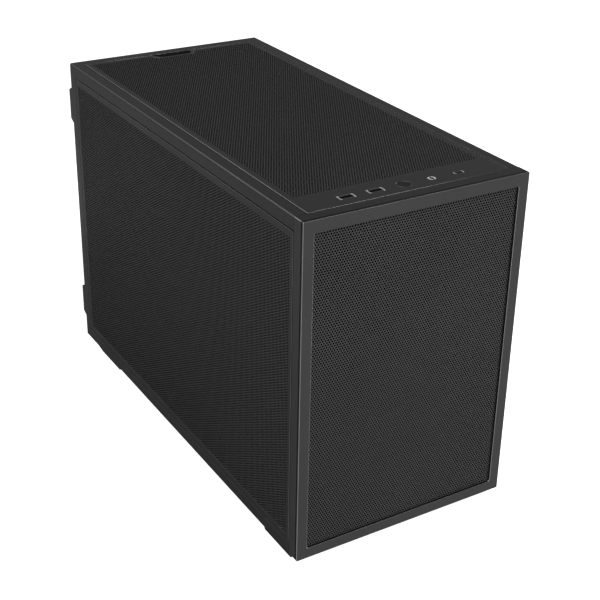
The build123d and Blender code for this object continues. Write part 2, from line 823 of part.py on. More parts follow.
with BuildPart() as usb_c_shell:
    with BuildSketch(Plane.XY.offset(board_z)):
        with Locations((port_xs[4], port_y)):
            SlotOverall(usb_c_lip[0] - usb_lip_thick, usb_c_lip[1] - usb_lip_thick)
    extrude(amount=port_depth - usb_lip_thick)
    with BuildSketch(Plane.XY.offset(top_z)):
        with Locations((port_xs[4], port_y)):
            SlotOverall(*usb_c_lip)
    extrude(amount=-usb_lip_thick)
    with BuildSketch(Plane.XY.offset(top_z)):
        with Locations((port_xs[4], port_y)):
            SlotOverall(*usb_c_opening)
    extrude(amount=shell_floor - port_depth, mode=Mode.SUBTRACT)

with BuildPart() as usb_c_tongue_part:
    with BuildSketch(Plane.XY.offset(board_z + shell_floor)):
        with Locations((port_xs[4], port_y)):
            Rectangle(*usb_c_tongue)
    extrude(amount=port_depth - shell_floor - tongue_short)

with BuildPart() as headset_jack:
    with Locations((port_xs[3], port_y, board_z)):
        Cylinder(jack_radius, port_depth, align=(Align.CENTER, Align.CENTER, Align.MIN))
    with Locations((port_xs[3], port_y, top_z)):
        Cylinder(
            jack_bore,
            jack_bore_depth,
            align=(Align.CENTER, Align.CENTER, Align.MAX),
            mode=Mode.SUBTRACT,
        )

with BuildPart() as power_switch:
    with Locations((port_xs[2], port_y, board_z)):
        Box(switch_size, switch_size, switch_height, align=(Align.CENTER, Align.CENTER, Align.MIN))
    with Locations((port_xs[2], port_y, board_z + switch_height)):
        Cylinder(
            plunger_radius + hair,
            switch_height - switch_floor,
            align=(Align.CENTER, Align.CENTER, Align.MAX),
            mode=Mode.SUBTRACT,
        )

with BuildPart() as button_guide:
    with Locations((port_xs[2], port_y, board_z)):
        guide_tall = port_depth - panel_steel - hair
        Cylinder(
            button_radius + hair + guide_wall,
            guide_tall,
            align=(Align.CENTER, Align.CENTER, Align.MIN),
        )
        Cylinder(
            button_radius + hair,
            guide_tall,
            align=(Align.CENTER, Align.CENTER, Align.MIN),
            mode=Mode.SUBTRACT,
        )

with BuildPart() as switch_plunger:
    with Locations((port_xs[2], port_y, stem_z)):
        Cylinder(plunger_radius, plunger_long, align=(Align.CENTER, Align.CENTER, Align.MAX))

with BuildPart() as power_button:
    with Locations((port_xs[2], port_y, top_z)):
        Cylinder(button_radius, button_thick, align=(Align.CENTER, Align.CENTER, Align.MAX))
    fillet(power_button.edges().sort_by(Axis.Z)[-1], hair)
    with Locations((port_xs[2], port_y, stem_z)):
        Cylinder(
            stem_radius,
            top_z - stem_z - button_thick,
            align=(Align.CENTER, Align.CENTER, Align.MIN),
        )


# Feet: moulded blocks under the sides, with a rubber pad let into each
def foot(side, run, nose, slope):
    """One foot, with a pocket for its pad. Its rear end slopes over the given length."""
    front_end, rear_end = front_y + run[0], front_y + run[1]
    inner, outer = side * (side_x - foot_inset - foot_wide), side * (side_x - foot_inset)
    with BuildPart() as block_foot:
        with BuildSketch(Plane.YZ.offset(min(inner, outer))):
            with BuildLine():
                Polyline(
                    (front_end, base_z),
                    (front_end, pad_proud + nose),
                    (front_end + nose, pad_proud),
                    (rear_end - slope, pad_proud),
                    (rear_end, pad_proud + foot_bevel),
                    (rear_end, base_z),
                    close=True,
                )
            make_face()
        extrude(amount=foot_wide)
        fillet(block_foot.edges().filter_by(Axis.Z), foot_round)
        block(
            (inner + side * pad_margin, outer - side * pad_margin),
            (front_end + nose + pad_margin, rear_end - slope - pad_margin),
            (pad_proud, pad_proud + pad_sunk),
            Mode.SUBTRACT,
        )
    return block_foot.part


def foot_pad(side, run, nose, slope):
    """The rubber pad of one foot."""
    inner, outer = side * (side_x - foot_inset - foot_wide), side * (side_x - foot_inset)
    with BuildPart() as pad:
        block(
            (inner + side * pad_margin, outer - side * pad_margin),
            (front_y + run[0] + nose + pad_margin, front_y + run[1] - slope - pad_margin),
            (0, pad_proud + pad_sunk),
        )
        fillet(pad.edges().group_by(Axis.Z)[0], pad_proud / 2)
    return pad.part


# Side panels: like each other, one turned to each side
def side_panel(workplane):
    """A side panel with its pierced field."""
    with BuildPart() as sheet:
        add(panel_blank(workplane, side_long, side_short))
        pierce(
            workplane,
            (0, 0),
            (side_long - 2 * end_grille_margin, side_short - 2 * side_grille_margin),
            2,
            panel_steel,
        )
    return sheet.part


left_panel = side_panel(left_plane)
right_panel = side_panel(right_plane)
left_panel_studs = copies(panel_stud(panel_steel, seat_depth), left_plane, side_studs)
right_panel_studs = copies(panel_stud(panel_steel, seat_depth), right_plane, side_studs)
left_panel_sockets = copies(panel_socket(seat_depth), left_plane, side_studs)
right_panel_sockets = copies(panel_socket(seat_depth), right_plane, side_studs)


# Roof panel: a plain strip with the ports' holes at the front, the pierced field and a finger notch behind
with BuildPart() as top_panel:
    add(panel_blank(roof_plane, roof_wide, side_long))
    field_front = panel_front + port_strip
    field_rear = panel_rear - end_grille_margin
    pierce(
        roof_plane,
        (0, (field_front + field_rear) / 2 - panel_mid_y),
        (roof_wide - 2 * roof_grille_margin, field_rear - field_front),
        1,
        panel_steel,
    )
    with BuildSketch(Plane.XY.offset(top_z)):
        with Locations(*[(port_x, port_y) for port_x in port_xs[:2]]):
            RectangleRounded(usb_lip[0] + 2 * hair, usb_lip[1] + 2 * hair, 1)
        with Locations((port_xs[2], port_y)):
            Circle(button_radius + hair)
        with Locations((port_xs[3], port_y)):
            Circle(jack_radius + hair)
        with Locations((port_xs[4], port_y)):
            SlotOverall(usb_c_lip[0] + 2 * hair, usb_c_lip[1] + 2 * hair)
    extrude(amount=-panel_steel, mode=Mode.SUBTRACT)
    with BuildSketch(Plane.XY.offset(top_z)) as notch:
        with BuildLine():
            Polyline(
                (-notch_width / 2, panel_rear),
                (-notch_floor / 2, panel_rear - notch_depth),
                (notch_floor / 2, panel_rear - notch_depth),
                (notch_width / 2, panel_rear),
                close=True,
            )
        make_face()
        fillet(notch.vertices().group_by(Axis.Y)[0], notch_radius)
    extrude(amount=-seat_depth, mode=Mode.SUBTRACT)

top_panel_studs = copies(panel_stud(panel_steel, seat_depth), roof_plane, roof_studs)
top_panel_sockets = copies(panel_socket(seat_depth), roof_plane, roof_studs)


# Front panel: a face frame on a 13 mm deep shell, the mesh clamped between them, a filter behind
def cut_opening(grow, far):
    """The opening of the face frame, larger all round by grow, through the part being built."""
    with BuildSketch(front_face) as opening:
        with Locations((0, opening_mid)):
            RectangleRounded(2 * opening_x + 2 * grow, opening_tall + 2 * grow, bezel_corner + grow)
    extrude(opening.sketch, amount=-far, mode=Mode.SUBTRACT)


with BuildPart() as front_bezel:
    block((-side_x, side_x), (front_y, front_y + bezel_thick), (base_z, top_z))
    fillet(front_bezel.edges().filter_by(Axis.Y), edge_round * 2)
    cut_opening(0, bezel_thick)
    fillet(front_bezel.faces().sort_by(Axis.Y)[0].edges(), edge_round)

with BuildPart() as front_shell:
    block((-side_x, side_x), (front_y + bezel_thick + bezel_groove, front_y + front_depth), (base_z, top_z))
    fillet(front_shell.edges().filter_by(Axis.Y), edge_round * 2)
    block(
        (-side_x + plastic, side_x - plastic),
        (web_rear, front_y + front_depth),
        (base_z + plastic, top_z - plastic),
        Mode.SUBTRACT,
    )
    block(
        (-side_x + plastic, side_x - plastic),
        (front_y, web_front),
        (base_z + plastic, top_z - plastic),
        Mode.SUBTRACT,
    )
    cut_opening(hair, front_depth)

with BuildPart() as front_mesh:
    block(
        (-side_x + plastic + hair, side_x - plastic - hair),
        (front_y + bezel_thick, web_front),
        (base_z + plastic + hair, top_z - plastic - hair),
    )
    pierce(
        front_face.offset(-bezel_thick),
        (0, opening_mid),
        (2 * opening_x, opening_tall),
        2,
        front_mesh_thick,
    )

with BuildPart() as front_filter_frame:
    reach_x, reach_z = opening_x + filter_lap, (opening_z[0] - filter_lap, opening_z[1] + filter_lap)
    block((-reach_x, reach_x), (web_rear, web_rear + filter_frame_thick), reach_z)
    block(
        (-reach_x + filter_frame_rim, reach_x - filter_frame_rim),
        (web_rear, web_rear + filter_frame_thick),
        (reach_z[0] + filter_frame_rim, reach_z[1] - filter_frame_rim),
        Mode.SUBTRACT,
    )
    net_x = reach_x - filter_frame_rim / 2
    net_z = span(opening_mid, reach_z[1] - reach_z[0] - filter_frame_rim)
    block((-net_x, net_x), (web_rear, web_rear + net_thick), net_z, Mode.SUBTRACT)

with BuildPart() as front_filter_net:
    block((-net_x, net_x), (web_rear, web_rear + net_thick), net_z)

front_seat = front_depth + front_seam
front_panel_studs = copies(panel_stud(web_rear - front_y, front_seat), front_plane, front_studs)
front_panel_sockets = copies(panel_socket(front_seat), front_plane, front_studs)


# Bottom filter: a frame with a pull tab, and its net
with BuildPart() as bottom_filter_frame:
    filter_y = (front_y + filter_run[0], front_y + filter_run[1])
    block((-filter_half, filter_half), filter_y, (filter_top - filter_thick, filter_top))
    with BuildSketch(Plane.XY.offset(filter_top)):
        with Locations((0, filter_y[1])):
            RectangleRounded(pull_tab[0], 2 * pull_tab[1], plastic)
    extrude(amount=-filter_thick)
    inner_y = (filter_y[0] + filter_rim, filter_y[1] - filter_rim)
    block(
        (-filter_half + filter_rim, filter_half - filter_rim),
        inner_y,
        (filter_top - filter_thick, filter_top),
        Mode.SUBTRACT,
    )
    half_rim = filter_rim / 2
    net_span_x = (-filter_half + half_rim, filter_half - half_rim)
    net_span_y = (filter_y[0] + half_rim, filter_y[1] - half_rim)
    block(net_span_x, net_span_y, (filter_top - net_thick, filter_top), Mode.SUBTRACT)

with BuildPart() as bottom_filter_net:
    block(net_span_x, net_span_y, (filter_top - net_thick, filter_top))


pieces = {
    "outer_frame": outer_frame.part,
    "bottom_plate": bottom_plate.part,
    "front_plate": front_plate.part,
    "rear_plate": rear_plate.part,
    "motherboard_tray": motherboard_tray.part,
    "psu_bracket": psu_bracket.part,
    "psu_bracket_screws": psu_bracket_screws,
    "drive_plate": drive_plate.part,
    "drive_plate_screws": drive_plate_screws,
    "board_standoffs": board_standoffs,
    "slot_screws": slot_screws,
    "ac_inlet": ac_inlet.part,
    "ac_inlet_pins": ac_inlet_pins.part,
    "ac_inlet_screws": ac_inlet_screws,
    "port_bracket": port_bracket.part,
    "port_bracket_screws": port_bracket_screws,
    "port_board": port_board.part,
    "usb_c_shell": usb_c_shell.part,
    "usb_c_tongue": usb_c_tongue_part.part,
    "headset_jack": headset_jack.part,
    "power_switch": power_switch.part,
    "button_guide": button_guide.part,
    "switch_plunger": switch_plunger.part,
    "power_button": power_button.part,
    "left_panel": left_panel,
    "left_panel_studs": left_panel_studs,
    "left_panel_sockets": left_panel_sockets,
    "right_panel": right_panel,
    "right_panel_studs": right_panel_studs,
    "right_panel_sockets": right_panel_sockets,
    "top_panel": top_panel.part,
    "top_panel_studs": top_panel_studs,
    "top_panel_sockets": top_panel_sockets,
    "front_bezel": front_bezel.part,
    "front_shell": front_shell.part,
    "front_mesh": front_mesh.part,
    "front_filter_frame": front_filter_frame.part,
    "front_filter_net": front_filter_net.part,
    "front_panel_studs": front_panel_studs,
    "front_panel_sockets": front_panel_sockets,
    "bottom_filter_frame": bottom_filter_frame.part,
    "bottom_filter_net": bottom_filter_net.part,
}
for number, slot_z in enumerate(slot_zs, start=1):
    pieces[f"slot_cover_{number}"] = slot_cover(slot_z)
for number, port_x in enumerate(port_xs[:2], start=1):
    pieces[f"usb_a_shell_{number}"] = usb_shell_at(port_x)
    pieces[f"usb_a_tongue_{number}"] = usb_tongue_at(port_x)
feet = (
    ("front", front_foot, foot_bevel, foot_bevel),
    ("rear", rear_foot, rear_foot_nose, rear_foot_slope),
)
for side, side_name in ((-1, "left"), (1, "right")):
    for end_name, run, nose, slope in feet:
        pieces[f"foot_{end_name}_{side_name}"] = foot(side, run, nose, slope)
        pieces[f"foot_pad_{end_name}_{side_name}"] = foot_pad(side, run, nose, slope)

os.makedirs("parts", exist_ok=True)
for name, piece in pieces.items():
    piece.label = name
    export_step(piece, f"parts/{name}.step")
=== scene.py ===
import json
import logging
from dataclasses import dataclass, replace
from enum import Enum
from typing import Dict, List, Optional, Sequence, Tuple, Union

import bpy
import numpy as np
from mathutils import Matrix, Vector


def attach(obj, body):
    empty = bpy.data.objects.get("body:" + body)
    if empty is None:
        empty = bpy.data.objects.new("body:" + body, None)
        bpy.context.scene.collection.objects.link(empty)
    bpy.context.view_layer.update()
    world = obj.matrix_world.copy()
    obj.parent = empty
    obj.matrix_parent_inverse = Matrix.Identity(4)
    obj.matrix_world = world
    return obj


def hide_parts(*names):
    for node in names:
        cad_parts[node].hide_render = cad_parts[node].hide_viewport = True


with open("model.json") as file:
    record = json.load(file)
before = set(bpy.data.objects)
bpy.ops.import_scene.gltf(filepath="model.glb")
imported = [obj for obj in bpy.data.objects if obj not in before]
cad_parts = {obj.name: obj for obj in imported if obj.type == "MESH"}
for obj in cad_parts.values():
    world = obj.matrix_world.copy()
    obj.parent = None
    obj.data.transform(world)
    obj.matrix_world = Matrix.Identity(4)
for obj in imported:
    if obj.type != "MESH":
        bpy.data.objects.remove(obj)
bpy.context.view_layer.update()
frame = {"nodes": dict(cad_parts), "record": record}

LOG = logging.getLogger("case")
MM = 0.001
BEND_STEPS = 6  # points round the bend of a folded edge
BEND_LEAST = 0.2  # smallest corner radius that an inset outline keeps, in millimetres
ALONG_AXIS = 0.999  # a face whose normal has a part larger than this looks along that axis
UPWARD = 0.95  # a face whose normal rises more than this looks up
NOUGHT = 1e-9  # stands for nought where a division needs a number

Point = Tuple[float, float, float]
Colour = Tuple[float, float, float]
Value = Union[float, bpy.types.NodeSocket]


class Turn(Enum):
    """Which way the rows of holes run in a pierced sheet, in degrees from the sheet's own first axis."""

    ALONG = 0.0
    ACROSS = 90.0


class Face(Enum):
    """The finishes within one piece, by their place in its list of materials."""

    SHEET = 0
    # The walls of holes and the folds in gaps: near black, a painted shade.
    WALL = 1
    # The upper faces of the bars: a lighter copy of the coat, painted light.
    WEB = 2


class Side(Enum):
    """The two side panels, by the direction that each one's face looks."""

    LEFT = -1.0
    RIGHT = 1.0


# ---------------------------------------------------------------- meshes


@dataclass(frozen=True)
class Placing:
    """A flat piece's own axes: its middle, and the directions of its width and height.

    Its third axis points out of its outer face.

    Args:
        middle: The middle of the outer face, in millimetres.
        along: Unit vector of the first axis.
        up: Unit vector of the second axis.
    """

    middle: Point
    along: Point
    up: Point

    def place(self, points: np.ndarray) -> np.ndarray:
        """Carries points from the piece's own axes into the case's frame.

        Args:
            points: Array whose last axis holds (along, up, out), in millimetres.

        Returns:
            The points in metres: middle + along * a + up * b + out * c, where out is along x up.
        """
        along, up = np.array(self.along), np.array(self.up)
        axes = np.stack([along, up, np.cross(along, up)])
        return (np.array(self.middle) + points @ axes) * MM


@dataclass
class Shape:
    """Points and faces that grow surface by surface and end as one mesh.

    Args:
        name: Name of the object that it becomes.
    """

    name: str

    def __post_init__(self) -> None:
        """Starts with no points and no faces."""
        self.points: List[np.ndarray] = []
        self.faces: List[np.ndarray] = []
        self.kinds: List[np.ndarray] = []
        self.count = 0

    def add(
        self, points: np.ndarray, faces: Sequence[np.ndarray], kinds: Sequence[np.ndarray] = ()
    ) -> None:
        """Adds one closed surface and turns it outward.

        The signed volume is the sum over all the faces of a . (b x c) / 6. Where it is negative, the
        order of every face's corners is reversed.

        Args:
            points: (n, 3) array in metres.
            faces: Arrays of corner numbers, each with its own count of corners to a face.
            kinds: Finish number of each face, array by array. Left out, all have the sheet's own.
        """
        volume = 0.0
        for group in faces:
            first, second = points[group[:, 0]], points[group[:, 1]]
            for corner in range(2, group.shape[1]):
                third = points[group[:, corner]]
                volume += float(np.einsum("ij,ij->", first, np.cross(second, third)))
                second = third
        for number, group in enumerate(faces):
            turned = group[:, ::-1] if volume < 0 else group
            self.faces.append(turned + self.count)
            plain = np.full(len(group), Face.SHEET.value)
            self.kinds.append(kinds[number] if len(kinds) else plain)
        self.points.append(points)
        self.count += len(points)

    def take(self, mesh: bpy.types.Mesh, placing: Placing) -> None:
        """Adds the faces of a mesh, as triangles.

        Args:
            mesh: The mesh, drawn in the piece's own axes, in millimetres.
            placing: The piece's place.
        """
        points = np.empty(3 * len(mesh.vertices), dtype=np.float32)
        mesh.vertices.foreach_get("co", points)
        mesh.calc_loop_triangles()
        faces = np.empty(3 * len(mesh.loop_triangles), dtype=np.int32)
        mesh.loop_triangles.foreach_get("vertices", faces)
        self.add(placing.place(points.reshape(-1, 3).astype(float)), [faces.reshape(-1, 3)])

    def build(self) -> bpy.types.Object:
        """Makes the object. Its origin is the case's, and its place is in its points.

        A face that looks straight along one of the case's axes is shaded flat, and the bends between are
        shaded smooth.

        Returns:
            The object, in the scene.
        """
        points = np.concatenate(self.points)
        sizes = np.concatenate([np.full(len(f), f.shape[1]) for f in self.faces])
        corners = np.concatenate([f.ravel() for f in self.faces])
        starts = np.concatenate([[0], np.cumsum(sizes)[:-1]])
        mesh = bpy.data.meshes.new(self.name)
        mesh.vertices.add(len(points))
        mesh.vertices.foreach_set("co", points.astype(np.float32).ravel())
        mesh.loops.add(len(corners))
        mesh.loops.foreach_set("vertex_index", corners.astype(np.int32))
        mesh.polygons.add(len(sizes))
        mesh.polygons.foreach_set("loop_start", starts.astype(np.int32))
        mesh.polygons.foreach_set("loop_total", sizes.astype(np.int32))
        mesh.polygons.foreach_set("material_index", np.concatenate(self.kinds).astype(np.int32))
        mesh.update(calc_edges=True)
        mesh.validate()
        facing = np.empty(3 * len(mesh.polygons), dtype=np.float32)
        mesh.polygons.foreach_get("normal", facing)
        smooth = np.abs(facing.reshape(-1, 3)).max(axis=1) < ALONG_AXIS
        mesh.polygons.foreach_set("use_smooth", smooth)
        made = bpy.data.objects.new(self.name, mesh)
        bpy.context.scene.collection.objects.link(made)
        return made


def grid_faces(rows: int, columns: int, wrap_rows: bool, wrap_columns: bool) -> np.ndarray:
    """Four-cornered faces of a grid of points.

    Face (i, j) joins the points (i, j), (i, j + 1), (i + 1, j + 1) and (i + 1, j), counted round where
    the grid closes on itself.

    Args:
        rows: Points along the first parameter.
        columns: Points along the second parameter.
        wrap_rows: Whether the last row joins the first.
        wrap_columns: Whether the last column joins the first.

    Returns:
        (m, 4) array of point numbers.
    """
    i, j = np.meshgrid(
        np.arange(rows if wrap_rows else rows - 1),
        np.arange(columns if wrap_columns else columns - 1),
        indexing="ij",
    )
    after_i, after_j = (i + 1) % rows, (j + 1) % columns
    row, next_row = i * columns, after_i * columns
    return np.stack([row + j, row + after_j, next_row + after_j, next_row + j], axis=-1).reshape(-1, 4)


def rounded_loop(half_wide: float, half_tall: float, radius: float, steps: int = 6) -> np.ndarray:
    """A rectangle with round corners, anticlockwise.

    Each corner is an arc of a quarter turn: centre + radius * (cos t, sin t), with t in equal steps.

    Args:
        half_wide: Half of the width.
        half_tall: Half of the height.
        radius: Corner radius.
        steps: Points in each corner.

    Returns:
        (4 * steps, 2) array.
    """
    turn = np.linspace(0.0, np.pi / 2, steps)
    quarter = np.arange(4)[:, None] * np.pi / 2
    sign_x, sign_y = np.array([1, -1, -1, 1])[:, None], np.array([1, 1, -1, -1])[:, None]
    x = sign_x * (half_wide - radius) + radius * np.cos(turn + quarter)
    y = sign_y * (half_tall - radius) + radius * np.sin(turn + quarter)
    return np.stack([x.ravel(), y.ravel()], axis=1)


def shaded_wall_kinds(lines: int, across: int, along_first: bool) -> np.ndarray:
    """Finish numbers for the faces of a swept edge.

    From the middle of the bend to the fold's lower end, an edge is painted as dark as the gap beside it, a
    painted shade.

    Args:
        lines: Lines of the section.
        across: Faces along each line.
        along_first: Whether the faces count along a line before they go on to the next one.

    Returns:
        One number for each face.
    """
    line = np.arange(lines)
    dark = (line >= BEND_STEPS // 2) & (line < BEND_STEPS + 2)
    kinds = np.where(dark, Face.WALL.value, Face.SHEET.value)
    return np.repeat(kinds, across) if along_first else np.tile(kinds, across)


def folded_edge(radius: float, depth: float, steel: float) -> np.ndarray:
    """Section of a sheet's folded edge, from the flat face round the bend and down, and back up inside.

    The bend is an arc of a quarter turn: (radius - radius * sin t, radius * cos t - radius).

    Args:
        radius: Outer radius of the bend.
        depth: How far the fold reaches below the face.
        steel: Thickness of the sheet.

    Returns:
        (n, 2) array of (inset from the outline, height above the face).
    """
    inner = 0.3
    turn = np.linspace(0.0, np.pi / 2, BEND_STEPS)
    bend = np.stack([radius - radius * np.sin(turn), radius * np.cos(turn) - radius], axis=1)
    inside = np.array([[0.0, -depth], [steel, -depth], [steel, -steel - inner], [steel + inner, -steel]])
    return np.concatenate([bend, inside])


@dataclass(frozen=True)
class Perforation:
    """A field of hexagonal holes in rows, much as a punched sheet has it.

    The sheet between the holes is three families of straight bars, 60 degrees apart. A family's bars lie
    midway between neighbouring rows of holes, so what stays open is a hexagon round each hole's middle.
    A small triangle between each three hexagons stays open too, which a punched sheet doesn't have.

    Args:
        half_wide: Half of the field along the sheet's first axis, in millimetres.
        low: Lower end of the field along the second axis.
        high: Upper end of the field along the second axis.
        turn: Which way the rows run.
        thick: Thickness of the sheet.
        pitch: Distance from hole to hole along a row.
        bar: Width of the metal between two rows.
        lap: How far the bars run on under the sheet's border.
        sunk: How far the first family lies below the face, and each next one below the last.
    """

    half_wide: float
    low: float
    high: float
    turn: Turn
    thick: float = 1.0
    pitch: float = 2.5
    bar: float = 0.42
    lap: float = 0.9
    sunk: float = 0.02

    def segments(self, degrees: float) -> Tuple[np.ndarray, np.ndarray]:
        """One family's centre lines, cut off at the field's border.

        A line is the point offset * normal plus t * direction. Each of the field's four sides limits t,
        and the line runs between the largest of the lower limits and the smallest of the upper ones.

        Args:
            degrees: Direction of the family's bars.

        Returns:
            Start points and end points, both (n, 2).
        """
        angle = np.radians(degrees)
        direction = np.array([np.cos(angle), np.sin(angle)])
        normal = np.array([-direction[1], direction[0]])
        spacing = self.pitch * np.sqrt(3.0) / 2
        reach = np.hypot(2 * self.half_wide, self.high - self.low)
        middle = np.array([0.0, (self.low + self.high) / 2])
        count = int(reach / spacing / 2) + 1
        offsets = (np.arange(-count, count) + 0.5) * spacing
        feet = middle + offsets[:, None] * normal
        low = np.array([-self.half_wide - self.lap, self.low - self.lap])
        high = np.array([self.half_wide + self.lap, self.high + self.lap])
        safe = np.where(np.abs(direction) < NOUGHT, NOUGHT, direction)
        first, second = (low - feet) / safe, (high - feet) / safe
        start = np.minimum(first, second).max(axis=1)
        end = np.maximum(first, second).min(axis=1)
        kept = end - start > self.pitch / 2
        return (
            feet[kept] + start[kept, None] * direction,
            feet[kept] + end[kept, None] * direction,
        )

    def bars(self, shape: Shape, placing: Placing, notch: Optional[np.ndarray] = None) -> None:
        """Adds the three families to a shape.

        Each bar is a box on its line. The families end a little below one another in height, so no
        two of their faces lie in one plane.

        Args:
            shape: The shape that takes the bars.
            placing: The sheet's place.
            notch: Corners of a convex region that stays free, anticlockwise, or None.
        """
        for family in range(3):
            starts, ends = self.segments(self.turn.value + 60.0 * family)
            if notch is not None:
                starts, ends = outside(starts, ends, notch)
            sink = self.sunk * (family + 1)
            points, faces, kinds = boxes(starts, ends, self.bar / 2, -sink, sink - self.thick, placing)
            shape.add(points, [faces], [kinds])


def outside(starts: np.ndarray, ends: np.ndarray, corners: np.ndarray) -> Tuple[np.ndarray, np.ndarray]:
    """The stretches of line segments that lie outside a convex region.

    With a segment as start + t * (end - start), t from 0 to 1, each side of the region gives a limit
    where the point's distance from that side, which changes evenly with t, is nought.

    Args:
        starts: (n, 2) start points.
        ends: (n, 2) end points.
        corners: The region's corners, anticlockwise.

    Returns:
        Start points and end points of what is left.
    """
    shortest = 0.5
    run = ends - starts
    side = np.roll(corners, -1, axis=0) - corners
    inward = np.stack([-side[:, 1], side[:, 0]], axis=1)
    slope = run @ inward.T
    height = np.einsum("nkj,kj->nk", starts[:, None, :] - corners[None, :, :], inward)
    slope = np.where(np.abs(slope) < NOUGHT, NOUGHT, slope)
    limit = -height / slope
    enter = np.where(slope > 0, limit, -np.inf).max(axis=1).clip(0.0, 1.0)
    leave = np.where(slope < 0, limit, np.inf).min(axis=1).clip(0.0, 1.0)
    whole = leave <= enter
    enter, leave = np.where(whole, 1.0, enter), np.where(whole, 1.0, leave)
    from_points = np.concatenate([starts, starts + leave[:, None] * run])
    to_points = np.concatenate([starts + enter[:, None] * run, ends])
    kept = np.linalg.norm(to_points - from_points, axis=1) > shortest
    return from_points[kept], to_points[kept]


def boxes(
    starts: np.ndarray, ends: np.ndarray, half: float, top: float, bottom: float, placing: Placing
) -> Tuple[np.ndarray, np.ndarray, np.ndarray]:
    """Straight bars with a rectangular section.

    The eight corners of a bar are start or end, plus or minus half a width across, at the top or the
    bottom height.

    Args:
        starts: (n, 2) start points.
        ends: (n, 2) end points.
        half: Half of the bars' width.
        top: Height of their upper face.
        bottom: Height of their lower face.
        placing: The sheet's place.

    Returns:
        Points in metres, the faces of all the bars, and each face's finish: the upper ones show the web,
        and the walls take the near-black painted shade.
    """
    run = ends - starts
    across = np.stack([-run[:, 1], run[:, 0]], axis=1)
    across *= half / np.linalg.norm(across, axis=1, keepdims=True)
    plan = np.stack([starts - across, ends - across, ends + across, starts + across], axis=1)
    corners = np.empty((len(plan), 2, 4, 3))
    corners[..., :2] = plan[:, None]
    corners[:, 0, :, 2], corners[:, 1, :, 2] = bottom, top
    lower, upper = [3, 2, 1, 0], [4, 5, 6, 7]
    one = np.array([lower, upper, [0, 1, 5, 4], [1, 2, 6, 5], [2, 3, 7, 6], [3, 0, 4, 7]])
    faces = (np.arange(len(plan))[:, None, None] * 8 + one).reshape(-1, 4)
    kinds = np.tile(np.where(one[:, 0] == upper[0], Face.WEB.value, Face.WALL.value), len(plan))
    return placing.place(corners.reshape(-1, 3)), faces, kinds


def swept_frame(
    insets: np.ndarray, half_wide: float, half_tall: float, corner: float, placing: Placing
) -> Tuple[np.ndarray, np.ndarray]:
    """A section carried round a rectangle with round corners, closed both ways.

    Row k is the rectangle made smaller by insets[k, 0] along and insets[k, 1] up, at height insets[k, 2].
    Its corner radius is the outer one less the smaller inset.

    Args:
        insets: (n, 3) section: inset along, inset up, height.
        half_wide: Half of the outline's width.
        half_tall: Half of the outline's height.
        corner: Outer corner radius.
        placing: The piece's place.

    Returns:
        Points in metres and faces.
    """
    loops = []
    for along, up, height in insets:
        radius = max(corner - min(along, up), BEND_LEAST)
        loop = rounded_loop(half_wide - along, half_tall - up, radius)
        loops.append(np.column_stack([loop, np.full(len(loop), height)]))
    grid = np.stack(loops)
    return placing.place(grid.reshape(-1, 3)), grid_faces(len(loops), grid.shape[1], True, True)


def swept_run(
    path: np.ndarray, section: np.ndarray, placing: Placing
) -> Tuple[np.ndarray, np.ndarray, np.ndarray]:
    """A section carried along an open path in the piece's plane, with flat ends.

    At each point the section moves inwards along the mitre of the two neighbouring runs: the sum of
    their unit normals, divided by one plus the cosine of the turn.

    Args:
        path: (n, 2) points, anticlockwise round the piece.
        section: (m, 2) inset and height.
        placing: The piece's place.

    Returns:
        Points in metres, the four-cornered faces, and the three-cornered ones that close each end.
    """
    run = np.diff(path, axis=0)
    run /= np.linalg.norm(run, axis=1, keepdims=True)
    normal = np.stack([-run[:, 1], run[:, 0]], axis=1)
    before, after = np.vstack([normal[:1], normal]), np.vstack([normal, normal[-1:]])
    mitre = (before + after) / (1 + np.sum(before * after, axis=1, keepdims=True))
    plan = path[:, None, :] + mitre[:, None, :] * section[None, :, :1]
    grid = np.concatenate([plan, np.broadcast_to(section[None, :, 1:], plan.shape[:2] + (1,))], axis=2)
    rows, columns = grid.shape[:2]
    faces = grid_faces(rows, columns, False, True)
    ends = np.stack([grid[0].mean(axis=0), grid[-1].mean(axis=0)])
    points = np.concatenate([grid.reshape(-1, 3), ends])
    j = np.arange(columns)
    after_j = (j + 1) % columns
    hub = rows * columns
    first = np.stack([np.full(columns, hub), after_j, j], axis=1)
    last = (rows - 1) * columns
    second = np.stack([np.full(columns, hub + 1), last + j, last + after_j], axis=1)
    return placing.place(points), faces, np.concatenate([first, second])


def flat_plate(outlines: Sequence[np.ndarray], thick: float, edge: float) -> bpy.types.Mesh:
    """A plate with holes, drawn as a filled flat curve and made a mesh.

    Args:
        outlines: The outline and the holes, each (n, 2), in millimetres.
        thick: Thickness. The upper face is at height 0.
        edge: Size of the rounding of its edges.

    Returns:
        The mesh, in millimetres, in the plate's own axes.
    """
    curve = bpy.data.curves.new("plate_outline", "CURVE")
    curve.dimensions, curve.fill_mode = "2D", "BOTH"
    curve.extrude, curve.bevel_depth, curve.bevel_resolution = thick / 2 - edge, edge, 1
    curve.offset = -edge
    for outline in outlines:
        spline = curve.splines.new("POLY")
        spline.points.add(len(outline) - 1)
        flat = np.column_stack([outline, np.zeros(len(outline)), np.ones(len(outline))])
        spline.points.foreach_set("co", flat.astype(np.float32).ravel())
        spline.use_cyclic_u = True
    drawn = bpy.data.objects.new("plate_outline", curve)
    bpy.context.scene.collection.objects.link(drawn)
    bpy.context.view_layer.update()
    filled = drawn.evaluated_get(bpy.context.evaluated_depsgraph_get())
    mesh = bpy.data.meshes.new_from_object(filled)
    bpy.data.objects.remove(drawn)
    mesh.transform(Matrix.Translation((0, 0, -thick / 2)))
    return mesh


def circle(middle: Tuple[float, float], radius: float, steps: int = 40) -> np.ndarray:
    """Points on a circle: middle + radius * (cos t, sin t).

    Args:
        middle: The circle's middle.
        radius: Its radius.
        steps: How many points it has.

    Returns:
        (steps, 2) array.
    """
    turn = np.linspace(0, 2 * np.pi, steps, endpoint=False)
    return np.column_stack([middle[0] + radius * np.cos(turn), middle[1] + radius * np.sin(turn)])


